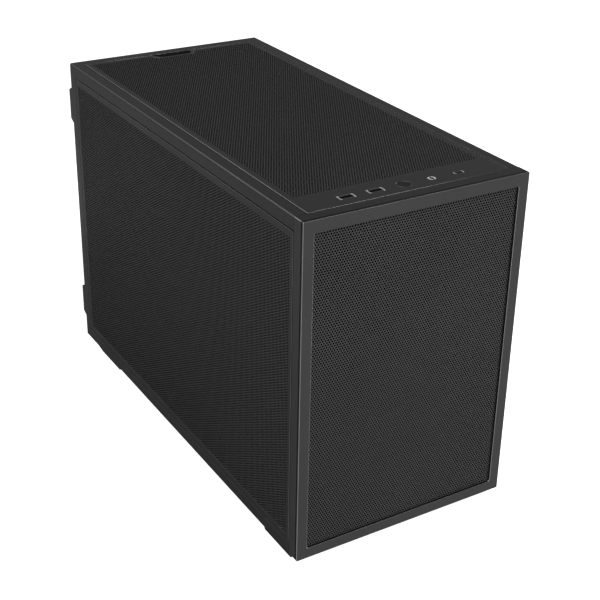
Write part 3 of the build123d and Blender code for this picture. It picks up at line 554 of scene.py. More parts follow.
# ---------------------------------------------------------------- finishes


class Group:
    """A shader node group under construction. Everything that goes in or comes out is a plain number."""

    def __init__(
        self, name: str, inputs: Dict[str, float], outputs: Sequence[str] = ("Mask", "Rough", "Height")
    ) -> None:
        """Makes the sockets.

        Args:
            name: Name of the group.
            inputs: Name and starting value of each number that goes in.
            outputs: Name of each number that comes out.
        """
        self.tree = bpy.data.node_groups.new(name, "ShaderNodeTree")
        for label, value in inputs.items():
            socket = self.tree.interface.new_socket(label, in_out="INPUT", socket_type="NodeSocketFloat")
            socket.default_value = value
        for label in outputs:
            self.tree.interface.new_socket(label, in_out="OUTPUT", socket_type="NodeSocketFloat")
        self.source = self.tree.nodes.new("NodeGroupInput")
        self.result = self.tree.nodes.new("NodeGroupOutput")

    def given(self, label: str) -> bpy.types.NodeSocket:
        """The input with this name."""
        return self.source.outputs[label]

    def maths(self, operation: str, *values: Value) -> bpy.types.NodeSocket:
        """Adds a Math node.

        Args:
            operation: What it does.
            values: The sockets or numbers that it works on, in order.

        Returns:
            Its result.
        """
        made = self.tree.nodes.new("ShaderNodeMath")
        made.operation = operation
        for slot, value in enumerate(values):
            if isinstance(value, (int, float)):
                made.inputs[slot].default_value = value
            else:
                self.tree.links.new(value, made.inputs[slot])
        return made.outputs[0]

    def plus(self, first: Value, second: Value) -> bpy.types.NodeSocket:
        """The sum of two values."""
        return self.maths("ADD", first, second)

    def minus(self, first: Value, second: Value) -> bpy.types.NodeSocket:
        """The first value less the second."""
        return self.maths("SUBTRACT", first, second)

    def times(self, first: Value, second: Value) -> bpy.types.NodeSocket:
        """The product of two values."""
        return self.maths("MULTIPLY", first, second)

    def over(self, first: Value, second: Value) -> bpy.types.NodeSocket:
        """1 where the first value is greater than the second, and 0 elsewhere."""
        return self.maths("GREATER_THAN", first, second)

    def size(self, value: Value) -> bpy.types.NodeSocket:
        """The value without its sign."""
        return self.maths("ABSOLUTE", value)

    def parts(self, vector: bpy.types.NodeSocket) -> Dict[str, bpy.types.NodeSocket]:
        """Splits a vector.

        Args:
            vector: The socket that gives it.

        Returns:
            Its three parts, by the names X, Y and Z.
        """
        split = self.tree.nodes.new("ShaderNodeSeparateXYZ")
        self.tree.links.new(vector, split.inputs["Vector"])
        return {axis: split.outputs[axis] for axis in "XYZ"}

    def place(self) -> bpy.types.NodeSocket:
        """The Object coordinates."""
        return self.tree.nodes.new("ShaderNodeTexCoord").outputs["Object"]

    def facing(self) -> bpy.types.NodeSocket:
        """The surface's normal."""
        return self.tree.nodes.new("ShaderNodeNewGeometry").outputs["Normal"]

    def noise(self, scale: str, detail: float, stretch: Optional[Point] = None) -> bpy.types.NodeSocket:
        """Adds a Noise Texture on Object coordinates.

        Args:
            scale: Name of the input that sets its scale.
            detail: Its detail.
            stretch: What the coordinates are multiplied by first, or None.

        Returns:
            Its value.
        """
        made = self.tree.nodes.new("ShaderNodeTexNoise")
        made.inputs["Detail"].default_value = detail
        vector = self.place()
        if stretch is not None:
            mapped = self.tree.nodes.new("ShaderNodeMapping")
            mapped.inputs["Scale"].default_value = stretch
            self.tree.links.new(vector, mapped.inputs["Vector"])
            vector = mapped.outputs["Vector"]
        self.tree.links.new(vector, made.inputs["Vector"])
        self.tree.links.new(self.given(scale), made.inputs["Scale"])
        return made.outputs["Fac"]

    def uneven(self, value: Value, swing: float) -> bpy.types.NodeSocket:
        """A value between 0 and 1 as a shift to both sides of nought: (value - 0.5) * swing."""
        return self.times(self.minus(value, 0.5), swing)

    def send(self, **results: bpy.types.NodeSocket) -> bpy.types.NodeTree:
        """Joins results to the group's outputs.

        Args:
            results: The socket for each output, by name.

        Returns:
            The finished group.
        """
        for label, source in results.items():
            self.tree.links.new(source, self.result.inputs[label])
        return self.tree


def bend_mask(made: Group) -> bpy.types.NodeSocket:
    """Where a surface bends from one face of the case to the next, with some turn to its side.

    It is one less the largest part of the surface's normal, made steep, where the first part is large. The
    skins paint their highlight on bends with it.

    Args:
        made: The group that takes the nodes.

    Returns:
        A mask from 0 on flat faces to 1 on bends.
    """
    flat_from, steepness, least_turn = 0.985, 12.0, 0.3
    facing = made.parts(made.facing())
    sizes = [made.size(facing[axis]) for axis in ("X", "Y", "Z")]
    flat = made.maths("MAXIMUM", made.maths("MAXIMUM", sizes[0], sizes[1]), sizes[2])
    turned = made.times(made.minus(flat_from, flat), steepness)
    held = made.maths("MAXIMUM", made.maths("MINIMUM", turned, 1.0), 0.0)
    return made.times(held, made.over(sizes[0], least_turn))


def upper_mask(made: Group) -> bpy.types.NodeSocket:
    """A mask that is 1 on faces that look up and 0 elsewhere."""
    return made.over(made.parts(made.facing())["Z"], UPWARD)


def powder_group() -> bpy.types.NodeTree:
    """The skin of powder coat or of fine plastic: an even grain, broad soft patches and painted light.

    The mask is a quarter of the grain, seven tenths of the patches and 0.15. Edge makes bends paler, a
    painted highlight, and Deep makes ledges darker, a painted shade. The roughness goes with the patches,
    and the height with the grain.

    Returns:
        A group with Grain (marks per metre), Patch (patches per metre), Depth, Edge (how much painted
        highlight a bend gets) and Deep (how much painted shade darkens a ledge that looks up below the
        roof) in, and a colour mask, a roughness shift and a height out.
    """
    below_roof = 0.318
    made = Group("powder_skin", {"Grain": 2500.0, "Patch": 14.0, "Depth": 0.5, "Edge": 0.0, "Deep": 0.0})
    grain, patch = made.noise("Grain", 2.0), made.noise("Patch", 3.0)
    base = made.plus(made.times(grain, 0.25), made.maths("MULTIPLY_ADD", patch, 0.7, 0.15))
    # Bends painted paler: a painted highlight.
    pale = made.times(bend_mask(made), made.given("Edge"))
    # Ledges that look up below the roof painted darker: a painted shade.
    inside = made.maths("LESS_THAN", made.parts(made.place())["Z"], below_roof)
    dark = made.times(made.times(upper_mask(made), inside), made.given("Deep"))
    return made.send(
        Mask=made.minus(made.plus(base, pale), dark),
        Rough=made.uneven(patch, 0.22),
        Height=made.times(grain, made.given("Depth")),
    )


def drawn_group() -> bpy.types.NodeTree:
    """Fine marks of drawn or turned metal, much longer one way than the other.

    The mask is six tenths of the marks and four tenths of broad patches. Roughness and height go with
    the marks.

    Returns:
        A group with Grain, Patch and Depth in, and a mask, a roughness shift and a height out.
    """
    made = Group("drawn_metal", {"Grain": 900.0, "Patch": 60.0, "Depth": 0.3})
    marks = made.noise("Grain", 3.0, (1.0, 0.06, 1.0))
    return made.send(
        Mask=made.plus(made.times(marks, 0.6), made.times(made.noise("Patch", 2.0), 0.4)),
        Rough=made.uneven(marks, 0.3),
        Height=made.times(marks, made.given("Depth")),
    )


def net_group() -> bpy.types.NodeTree:
    """Plain weave of a filter net: two sets of round threads, each the size of sin(pi * Grain * place).

    The mask is the higher of the two threads, times the patches and 0.4.

    Returns:
        A group with Grain (threads per metre), Patch and Depth in, and a mask, a roughness shift and a
        height out.
    """
    made = Group("net_weave", {"Grain": 1400.0, "Patch": 20.0, "Depth": 1.0})
    flat = made.tree.nodes.new("ShaderNodeUVMap")
    flat.uv_map = "flat"
    parts = made.parts(flat.outputs["UV"])
    turns = made.times(made.given("Grain"), float(np.pi))
    threads = [made.size(made.maths("SINE", made.times(parts[axis], turns))) for axis in ("X", "Y")]
    weave = made.maths("MAXIMUM", *threads)
    patch = made.noise("Patch", 3.0)
    return made.send(
        Mask=made.times(weave, made.plus(patch, 0.4)),
        Rough=made.uneven(patch, 0.2),
        Height=made.times(weave, made.given("Depth")),
    )


def moulded_group() -> bpy.types.NodeTree:
    """Moulded plastic with painted light: paler bends, darker upper faces and a shadow line at the seam.

    The mask is seven tenths of the patches and three tenths of the grain, with Edge more on bends, a
    painted highlight, and Top less on faces that look up, a painted shade; these faces are also smoother.
    The line is a painted shadow in the seam: the band about one depth, Seam, by the distance from it
    along the second axis. In it the mask falls to its floor, which is black, and the surface is a black
    metal, so it reflects next to nothing.

    Returns:
        A group with Grain, Patch, Depth, Edge (how much painted highlight a bend gets), Seam, Band (half of
        the painted shadow line's width) and Top (how much painted shade darkens an upper face) in, and a
        mask, a roughness shift, a height and a metallic mask out.
    """
    floor, smoother = 1.9, 0.18
    made = Group(
        "moulded_front",
        {
            "Grain": 3200.0,
            "Patch": 14.0,
            "Depth": 0.5,
            "Edge": 26.0,
            "Seam": -0.2302,
            "Band": 0.0008,
            "Top": 1.6,
        },
        ("Mask", "Rough", "Height", "Metal"),
    )
    grain, patch = made.noise("Grain", 2.0), made.noise("Patch", 3.0)
    # Painted shadow line in the seam: the band about Seam turns black.
    away = made.size(made.minus(made.parts(made.place())["Y"], made.given("Seam")))
    clear = made.over(away, made.given("Band"))
    upper = upper_mask(made)
    base = made.plus(made.times(patch, 0.7), made.times(grain, 0.3))
    # Upper faces painted darker: a painted shade.
    base = made.minus(base, made.times(upper, made.given("Top")))
    # Bends painted paler: a painted highlight.
    whole = made.plus(base, made.times(bend_mask(made), made.given("Edge")))
    return made.send(
        Mask=made.minus(made.times(made.plus(whole, floor), clear), floor),
        Rough=made.minus(made.uneven(patch, 0.2), made.times(upper, smoother)),
        Height=made.times(grain, made.given("Depth")),
        Metal=made.minus(1.0, clear),
    )


def lip_group() -> bpy.types.NodeTree:
    """Plated socket lips: a painted highlight at their two ends, duller sides, and painted shade below the
    roof.

    The distance from the nearest socket's middle is the first axis wrapped round one pitch. The mask is
    0.85 where it passes the given end, a painted highlight, with 0.15 of the grain, and it is 0.3 under
    nought below the lip, a painted shade.

    Returns:
        A group with Grain, Patch (not used here, but every skin has it), Depth, End, Middle, Half pitch
        and Lip in, and a mask, a roughness shift and a height out.
    """
    made = Group(
        "socket_lip",
        {
            "Grain": 900.0,
            "Patch": 60.0,
            "Depth": 0.3,
            "End": 0.0056,
            "Middle": 0.0015,
            "Half pitch": 0.0135,
            "Lip": 0.3193,
        },
    )
    parts, half = made.parts(made.place()), made.given("Half pitch")
    grain = made.noise("Grain", 2.0)
    wrapped = made.maths("WRAP", made.minus(parts["X"], made.given("Middle")), half, made.times(half, -1.0))
    end = made.over(made.size(wrapped), made.given("End"))
    shown = made.over(parts["Z"], made.given("Lip"))
    # Painted highlight at the lips' two ends, with some of the grain.
    plated = made.plus(made.times(end, 0.85), made.times(grain, 0.15))
    # Painted shade in the socket below the lip.
    sunk = made.times(made.minus(shown, 1.0), 0.3)
    return made.send(
        Mask=made.plus(made.times(plated, shown), sunk),
        Rough=made.uneven(grain, 0.2),
        Height=made.times(grain, made.given("Depth")),
    )


def footprint_group() -> bpy.types.NodeTree:
    """Tells the floor that lies open from the floor under the case.

    Returns:
        A group with the case's half width and half depth in, and a mask out that is 0 under it.
    """
    made = Group("open_floor", {"Half width": 0.1, "Half depth": 0.217}, ("Mask",))
    parts = made.parts(made.place())
    beyond = [
        made.over(made.size(parts[axis]), made.given(label))
        for axis, label in (("X", "Half width"), ("Y", "Half depth"))
    ]
    return made.send(Mask=made.maths("MAXIMUM", *beyond))


class Skin(Enum):
    """The surface that a finish has, by the group that draws it."""

    POWDER = "powder_skin"
    DRAWN = "drawn_metal"
    NET = "net_weave"
    MOULDED = "moulded_front"
    LIP = "socket_lip"


@dataclass(frozen=True)
class Finish:
    """One material: its two shades, its gloss and the skin that mixes them.

    Args:
        name: Name of the material.
        dark: Darker shade, linear.
        light: Lighter shade, linear.
        rough: Middle roughness.
        skin: Which group draws its surface.
        grain: Grain marks per metre.
        patch: Broad patches per metre.
        depth: Height of the grain, from 0 to 1.
        bump: Real height of the grain, in millimetres.
        metal: 1 for bare metal.
        coat: Clear coat.
        specular: Strength of the plain reflection.
        extra: Further inputs of the skin's group, by name.
    """

    name: str
    dark: Colour
    light: Colour
    rough: float
    skin: Skin = Skin.POWDER
    grain: float = 2500.0
    patch: float = 14.0
    depth: float = 0.5
    bump: float = 0.05
    metal: float = 0.0
    coat: float = 0.0
    specular: float = 0.5
    extra: Tuple[Tuple[str, float], ...] = ()

    def material(self) -> bpy.types.Material:
        """Builds the material, once.

        Returns:
            The material, with the skin's mask between the shades and its height in the Normal.
        """
        known = bpy.data.materials.get(self.name)
        if known is not None:
            return known
        made = bpy.data.materials.new(self.name)
        made.use_nodes = True
        nodes, links = made.node_tree.nodes, made.node_tree.links
        shader = nodes["Principled BSDF"]
        skin = nodes.new("ShaderNodeGroup")
        skin.node_tree = bpy.data.node_groups[self.skin.value]
        values = {"Grain": self.grain, "Patch": self.patch, "Depth": self.depth, **dict(self.extra)}
        for label, value in values.items():
            skin.inputs[label].default_value = value
        shades = nodes.new("ShaderNodeMix")
        shades.data_type, shades.clamp_factor = "RGBA", False
        shades.inputs["A"].default_value = (*self.dark, 1.0)
        shades.inputs["B"].default_value = (*self.light, 1.0)
        links.new(skin.outputs["Mask"], shades.inputs["Factor"])
        links.new(shades.outputs["Result"], shader.inputs["Base Color"])
        gloss = nodes.new("ShaderNodeMath")
        gloss.operation = "ADD"
        gloss.inputs[1].default_value = self.rough
        links.new(skin.outputs["Rough"], gloss.inputs[0])
        links.new(gloss.outputs[0], shader.inputs["Roughness"])
        relief = nodes.new("ShaderNodeBump")
        relief.inputs["Distance"].default_value = self.bump * MM
        links.new(skin.outputs["Height"], relief.inputs["Height"])
        links.new(relief.outputs["Normal"], shader.inputs["Normal"])
        shader.inputs["Metallic"].default_value = self.metal
        if "Metal" in skin.outputs:
            links.new(skin.outputs["Metal"], shader.inputs["Metallic"])
        shader.inputs["Coat Weight"].default_value = self.coat
        shader.inputs["Specular IOR Level"].default_value = self.specular
        return made


def shade(value: float, warm: float = 0.0) -> Colour:
    """A near grey: value, with red a little up and blue a little down for warm above 0."""
    return (value * (1 + warm), value, value * (1 - warm))


def case_finishes() -> Dict[str, Finish]:
    """Every finish on the case.

    Returns:
        The finishes, by the record's material slot or by the name that a piece of its own asks for.
    """
    # In these finishes Edge is a painted highlight on bends and Deep a painted shade on ledges.
    coat = Finish(
        "black_powder_coat",
        shade(0.009),
        shade(0.016),
        0.28,
        bump=0.02,
        specular=0.3,
        extra=(("Edge", 14.0),),
    )
    # The metal between the holes is the border's coat, painted lighter as painted light: on the sides about
    # five times and on the roof about three times as light as the plain border.
    web = Finish("side_web_coat", shade(0.059), shade(0.095), 0.46, bump=0.001, specular=0.35)
    moulding = Finish(
        "dark_grey_moulding",
        shade(0.022),
        shade(0.034),
        0.38,
        Skin.MOULDED,
        grain=3200.0,
        bump=0.03,
        specular=0.35,
    )
    plating = Finish(
        "plated_shell", shade(0.05), shade(0.9), 0.3, Skin.LIP, grain=900.0, bump=0.005, metal=0.7
    )
    return {
        "frame_steel": coat,
        "shell_steel": replace(coat, name="black_powder_coat_shell", extra=(("Edge", 14.0), ("Deep", 1.7))),
        "panel_steel": replace(
            coat,
            name="black_powder_coat_panel",
            dark=shade(0.011),
            light=shade(0.019),
            rough=0.3,
            extra=(("Edge", 32.0),),
        ),
        # Near black with hardly any reflection: painted shade on the walls of holes and in the gaps.
        "hole_walls": Finish("pierced_edges", shade(0.0008), shade(0.002), 0.7, bump=0.01, specular=0.02),
        "side_web": web,
        "roof_web": replace(web, name="roof_web_coat", dark=shade(0.034), light=shade(0.058), specular=0.3),
        "front_web": replace(
            web, name="front_web_coat", dark=shade(0.036), light=shade(0.06), rough=0.36, specular=0.45
        ),
        "front_plastic": moulding,
        "button_plastic": replace(
            moulding,
            name="black_button",
            dark=shade(0.005),
            light=shade(0.01),
            rough=0.4,
            bump=0.01,
            specular=0.3,
            extra=(("Edge", 30.0),),
        ),
        "socket_metal": plating,
        "socket_c_metal": replace(plating, name="plated_small_shell", extra=(("End", 0.0034),)),
        "jack_metal": replace(
            plating,
            name="plated_ring",
            dark=shade(0.12),
            light=shade(0.95),
            rough=0.25,
            metal=0.6,
            extra=(("End", 0.0009), ("Lip", 0.3197)),
        ),
        "foot_plastic": Finish(
            "black_foot_moulding", shade(0.010), shade(0.02), 0.55, grain=1800.0, bump=0.08
        ),
        "pad_rubber": Finish(
            "grey_black_rubber", shade(0.012), shade(0.03, 0.02), 0.78, grain=900.0, bump=0.1
        ),
        "pin_metal": Finish(
            "bare_pin", (0.6, 0.5, 0.28), (0.8, 0.68, 0.4), 0.3, Skin.DRAWN, bump=0.01, metal=1.0
        ),
        "tongue_plastic": Finish(
            "black_tongue", shade(0.003), shade(0.006), 0.5, grain=4000.0, bump=0.02, specular=0.2
        ),
        "inlet_plastic": Finish("black_inlet", shade(0.012), shade(0.02), 0.38, grain=2600.0, bump=0.05),
        "circuit_board": Finish(
            "green_board", (0.006, 0.03, 0.012), (0.012, 0.06, 0.024), 0.3, patch=120.0, coat=0.5
        ),
        "switch_plastic": Finish("black_switch", shade(0.012), shade(0.02), 0.45, grain=2600.0, bump=0.03),
        "stud_plastic": Finish("black_stud", shade(0.012), shade(0.022), 0.5, grain=2200.0, bump=0.04),
        "filter_net": Finish(
            "black_net",
            shade(0.001),
            shade(0.005),
            0.8,
            Skin.NET,
            grain=1400.0,
            patch=20.0,
            bump=0.12,
            specular=0.05,
        ),
        "filter_plastic": Finish(
            "black_filter_frame", shade(0.012), shade(0.02), 0.5, grain=2200.0, bump=0.04
        ),
        "screw_steel": Finish(
            "zinc_screw", shade(0.4), shade(0.58), 0.35, Skin.DRAWN, bump=0.02, metal=1.0
        ),
        "brass_standoff": Finish(
            "turned_brass", (0.5, 0.36, 0.13), (0.78, 0.6, 0.28), 0.3, Skin.DRAWN, bump=0.02, metal=1.0
        ),
    }


class Palette:
    """Dresses pieces in the case's finishes."""

    def __init__(self) -> None:
        """Builds the shared groups, then the finishes."""
        for build_group in (powder_group, drawn_group, net_group, moulded_group, lip_group):
            build_group()
        self.finishes = case_finishes()

    def dress(self, piece: bpy.types.Object, *names: str) -> None:
        """Gives a piece its finishes.

        Args:
            piece: The object.
            names: The finishes, in the order of its faces' numbers.
        """
        piece.data.materials.clear()
        for name in names:
            piece.data.materials.append(self.finishes[name].material())


# ---------------------------------------------------------------- the case's visible pieces


def finish_piece(
    piece: bpy.types.Object, palette: Palette, slot: str, node: str, more: Sequence[str] = ()
) -> bpy.types.Object:
    """Dresses a new piece in its slot's finish, sets its body, and hides the node that it stands for.

    Args:
        piece: The new object.
        palette: The finishes.
        slot: The record's material slot.
        node: The CAD node that the piece replaces.
        more: Further finishes, for the faces that have numbers above 0.

    Returns:
        The same object.
    """
    numbers = np.empty(len(piece.data.polygons), dtype=np.int32)
    piece.data.polygons.foreach_get("material_index", numbers)
    palette.dress(piece, slot, *more)
    piece.data.polygons.foreach_set("material_index", numbers)
    bodies = frame["record"]["behaviour"]["bodies"]
    body = next(name for name, members in bodies.items() if node in members)
    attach(piece, body)
    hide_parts(node)
    LOG.info("%s stands for %s on %s, %d faces", piece.name, node, body, len(piece.data.polygons))
    return piece


@dataclass
class SidePanel:
    """A folded side panel with its pierced field, in millimetres.

    Args:
        side: Which of the two panels it is.
        face_x: How far the outer face lies from the case's middle.
        middle_y: Middle of the face along the case.
        middle_z: Middle of the face in height.
        half_long: Half of its length.
        half_tall: Half of its height.
        corner: Corner radius.
        bend: Outer radius of the folded edges.
        fold: Depth of the folds.
        steel: Thickness of the sheet.
        margin_ends: Plain border at the front and the rear.
        margin_sides: Plain border above and below.
        soft: Size of the small slope at the field's edge.
        finishes: Finishes of the holes' walls, a painted shade, and of the metal between the holes, a
        lighter copy of the coat as painted light.
    """

    side: Side
    face_x: float = 107.5
    middle_y: float = -2.5
    middle_z: float = 163.75
    half_long: float = 215.8
    half_tall: float = 143.55
    corner: float = 1.5
    bend: float = 0.45
    fold: float = 8.0
    steel: float = 1.0
    margin_ends: float = 5.0
    margin_sides: float = 6.2
    soft: float = 0.12
    finishes: Tuple[str, str] = ("hole_walls", "side_web")

    def placing(self) -> Placing:
        """The face's place: first axis to the rear on the right side and to the front on the left."""
        sign = self.side.value
        return Placing((sign * self.face_x, self.middle_y, self.middle_z), (0, sign, 0), (0, 0, 1))

    def border(self) -> np.ndarray:
        """Section from the bend down the fold, back under the sheet and up at the field's edge.

        Returns:
            (n, 3) array: inset along, inset up and height.
        """
        edge = folded_edge(self.bend, self.fold, self.steel)
        rows = np.column_stack([edge[:, 0], edge[:, 0], edge[:, 1]])
        ends, sides, soft = self.margin_ends, self.margin_sides, self.soft
        field_edge = [[ends, sides, -self.steel], [ends, sides, -soft], [ends - soft, sides - soft, 0.0]]
        return np.concatenate([rows, field_edge])

    def build(self, palette: Palette) -> bpy.types.Object:
        """Builds the panel as one object on its body.

        Args:
            palette: The finishes.

        Returns:
            The object.
        """
        name = self.side.name.lower()
        shape = Shape(f"{name}_panel_skin")
        placing = self.placing()
        border = self.border()
        points, faces = swept_frame(border, self.half_long, self.half_tall, self.corner, placing)
        shape.add(points, [faces], [shaded_wall_kinds(len(border), len(faces) // len(border), True)])
        field = Perforation(
            self.half_long - self.margin_ends,
            -self.half_tall + self.margin_sides,
            self.half_tall - self.margin_sides,
            Turn.ACROSS,
        )
        field.bars(shape, placing)
        return finish_piece(shape.build(), palette, "panel_steel", f"{name}_panel", self.finishes)


@dataclass
class RoofPanel:
    """The roof panel: a plain strip with the ports' holes, the pierced field and a finger notch.

    All sizes are in millimetres.

    Args:
        face_z: Height of its outer face.
        middle_y: Middle of the panel along the case.
        half_wide: Half of its width.
        half_long: Half of its length.
        corner: Corner radius.
        bend: Outer radius of the folded edges.
        fold: Depth of the folds.
        steel: Thickness of the sheet.
        round_off: Rounding of the plate's other edges.
        field_half: Half of the pierced field's width.
        field_front: Front end of the field, from the panel's middle.
        field_rear: Rear end of the field.
        notch_half: Half of the notch's width at the rear edge.
        notch_floor: Half of its width at its floor.
        notch_depth: Its depth.
        notch_round: Length of the curves at its inner corners.
        notch_steps: Points on each of these curves.
        notch_clear: How far the bars stop from it.
        notch_past: How far the bars' free region runs past the rear edge.
        rim: Plain border round the notch.
        port_row: Place of the row of ports, from the panel's middle.
        usb_holes: Places of the two large sockets' holes.
        usb_hole: Half width, half depth and corner radius of such a hole.
        button_hole: Place and radius of the button's hole.
        button_steps: Points round the button's hole.
        jack_hole: Place and radius of the jack's hole.
        usb_c_hole: Place, half width, half depth and corner radius of the small socket's hole.
        usb_c_steps: Points in each corner of that hole.
        finishes: Finishes of the holes' walls, a painted shade, and of the metal between the holes, a
        lighter copy of the coat as painted light.
    """

    face_z: float = 320.0
    middle_y: float = -2.5
    half_wide: float = 95.8
    half_long: float = 215.8
    corner: float = 1.5
    bend: float = 0.8
    fold: float = 8.0
    steel: float = 1.0
    round_off: float = 0.1
    field_half: float = 89.7
    field_front: float = -185.1
    field_rear: float = 211.0
    notch_half: float = 22.5
    notch_floor: float = 17.0
    notch_depth: float = 10.5
    notch_round: float = 5.0
    notch_steps: int = 7
    notch_clear: float = 1.5
    notch_past: float = 5.0
    rim: float = 3.0
    port_row: float = -202.8
    usb_holes: Tuple[float, float] = (-52.5, -25.5)
    usb_hole: Tuple[float, float, float] = (7.55, 3.8, 1.0)
    button_hole: Tuple[float, float] = (1.5, 6.5)
    button_steps: int = 56
    jack_hole: Tuple[float, float] = (28.5, 3.7)
    usb_c_hole: Tuple[float, float, float, float] = (55.5, 5.2, 2.4, 2.39)
    usb_c_steps: int = 10
    finishes: Tuple[str, str] = ("hole_walls", "roof_web")

    def placing(self) -> Placing:
        """The face's place: first axis to the right, second to the rear."""
        return Placing((0.0, self.middle_y, self.face_z), (1, 0, 0), (0, 1, 0))

    def notch(self, grow: float) -> np.ndarray:
        """The notch's edge, made wider and deeper by grow, from right to left.

        Each inner corner is a curve of three corners' blend: (1-t)^2 a + 2t(1-t) b + t^2 c.

        Args:
            grow: How far outside the notch the line runs.

        Returns:
            (n, 2) points from the rear edge, round the floor and back.
        """
        rear, floor = self.half_long, self.half_long - self.notch_depth - grow
        right = np.array([self.notch_half + grow, rear])
        inner = np.array([self.notch_floor + grow, floor])
        slope = (right - inner) / np.linalg.norm(right - inner)
        near, far = inner + slope * self.notch_round, inner - np.array([self.notch_round, 0.0])
        t = np.linspace(0, 1, self.notch_steps)[:, None]
        bend = (1 - t) ** 2 * near + 2 * t * (1 - t) * inner + t**2 * far
        half = np.vstack([right, bend])
        return np.vstack([half, half[::-1] * [-1, 1]])

    def outline(self, inset: float) -> np.ndarray:
        """The outline from the notch's left end round the panel to its right end.

        Args:
            inset: How far inside the panel's edge it runs.

        Returns:
            (n, 2) points, anticlockwise.
        """
        loop = rounded_loop(self.half_wide - inset, self.half_long - inset, self.corner - inset)
        steps = len(loop) // 4
        return np.vstack([loop[steps:], loop[:steps]])

    def ports(self) -> List[np.ndarray]:
        """The holes over the sockets and the button.

        Returns:
            One outline for each.
        """
        wide, tall, corner = self.usb_hole
        usb = [rounded_loop(wide, tall, corner) + [x, self.port_row] for x in self.usb_holes]
        slot_x, slot_wide, slot_tall, slot_round = self.usb_c_hole
        return usb + [
            circle((self.button_hole[0], self.port_row), self.button_hole[1], self.button_steps),
            circle((self.jack_hole[0], self.port_row), self.jack_hole[1]),
            rounded_loop(slot_wide, slot_tall, slot_round, self.usb_c_steps) + [slot_x, self.port_row],
        ]

    def folds(self, shape: Shape) -> None:
        """Adds the folded edge, from one end of the notch round the panel to the other.

        Args:
            shape: The shape that takes it.
        """
        left, right = [[-self.notch_half, self.half_long]], [[self.notch_half, self.half_long]]
        path = np.vstack([left, self.outline(0.0), right])
        section = folded_edge(self.bend, self.fold, self.steel)
        points, faces, caps = swept_run(path, section, self.placing())
        runs = np.diff(path, axis=0)
        # The folds take the painted shade of the gap, except along the front, which keeps the sheet's
        # finish with the bend's painted highlight.
        front = np.repeat(runs[:, 0] > np.abs(runs[:, 1]), len(section))
        kinds = np.where(front, Face.SHEET.value, shaded_wall_kinds(len(section), len(runs), False))
        shape.add(points, [faces, caps], [kinds, np.full(len(caps), Face.WALL.value)])

    def plate(self, shape: Shape) -> None:
        """Adds the plain sheet round the field, with the ports' holes.

        Args:
            shape: The shape that takes it.
        """
        edge = np.vstack([self.outline(self.bend), self.notch(0.0)])
        edge[:, 1] = np.minimum(edge[:, 1], self.half_long - self.bend)
        rim = self.notch(self.rim)
        rim[[0, -1], 1] = self.field_rear
        right = [[self.field_half, self.field_front], [self.field_half, self.field_rear]]
        left = [[-self.field_half, self.field_rear], [-self.field_half, self.field_front]]
        outlines = [edge, np.vstack([right, rim, left]), *self.ports()]
        shape.take(flat_plate(outlines, self.steel, self.round_off), self.placing())

    def build(self, palette: Palette) -> bpy.types.Object:
        """Builds the panel as one object on its body.

        Args:
            palette: The finishes.

        Returns:
            The object.
        """
        shape = Shape("top_panel_skin")
        self.folds(shape)
        self.plate(shape)
        wide, narrow = self.notch_half + self.notch_clear, self.notch_floor + self.notch_clear
        far = self.half_long + self.notch_past
        near = self.half_long - self.notch_depth - self.notch_clear
        keep_out = np.array([[-wide, far], [-narrow, near], [narrow, near], [wide, far]])
        field = Perforation(self.field_half, self.field_front, self.field_rear, Turn.ALONG)
        field.bars(shape, self.placing(), keep_out)
        return finish_piece(shape.build(), palette, "panel_steel", "top_panel", self.finishes)


@dataclass
class FrontMesh:
    """The mesh sheet clamped behind the face frame, in millimetres.

    Args:
        face_y: Place of its outer face along the case.
        middle_z: Middle of the sheet in height.
        half_wide: Half of its width.
        half_tall: Half of its height.
        open_half: Half of the pierced field's width.
        open_low: Lower end of the field, from the sheet's middle.
        open_high: Upper end of the field.
        steel: Thickness of the sheet's border.
        corner: Corner radius.
        web: Thickness of the metal between the holes.
        bar: Width of the metal between the holes.
        finishes: Finishes of the holes' walls, a painted shade, and of the metal between the holes, a
        lighter copy of the coat as painted light.
    """

    face_y: float = -230.3
    middle_z: float = 164.5
    half_wide: float = 105.0
    half_tall: float = 153.0
    open_half: float = 98.0
    open_low: float = -146.0
    open_high: float = 145.2
    steel: float = 1.0
    corner: float = 0.6
    web: float = 0.6
    bar: float = 0.38
    finishes: Tuple[str, str] = ("hole_walls", "front_web")

    def build(self, palette: Palette) -> bpy.types.Object:
        """Builds the sheet as one object on the front panel's body.

        Args:
            palette: The finishes.

        Returns:
            The object.
        """
        shape = Shape("front_mesh_skin")
        placing = Placing((0.0, self.face_y, self.middle_z), (1, 0, 0), (0, 0, 1))
        side, up = self.half_wide - self.open_half, self.half_tall - self.open_high
        low = -self.steel
        section = np.array([[0.0, 0.0, 0.0], [0.0, 0.0, low], [side, up, low], [side, up, 0.0]])
        points, faces = swept_frame(section, self.half_wide, self.half_tall, self.corner, placing)
        shape.add(points, [faces])
        field = Perforation(
            self.open_half, self.open_low, self.open_high, Turn.ALONG, thick=self.web, bar=self.bar
        )
        field.bars(shape, placing)
        return finish_piece(shape.build(), palette, "panel_steel", "front_mesh", self.finishes)


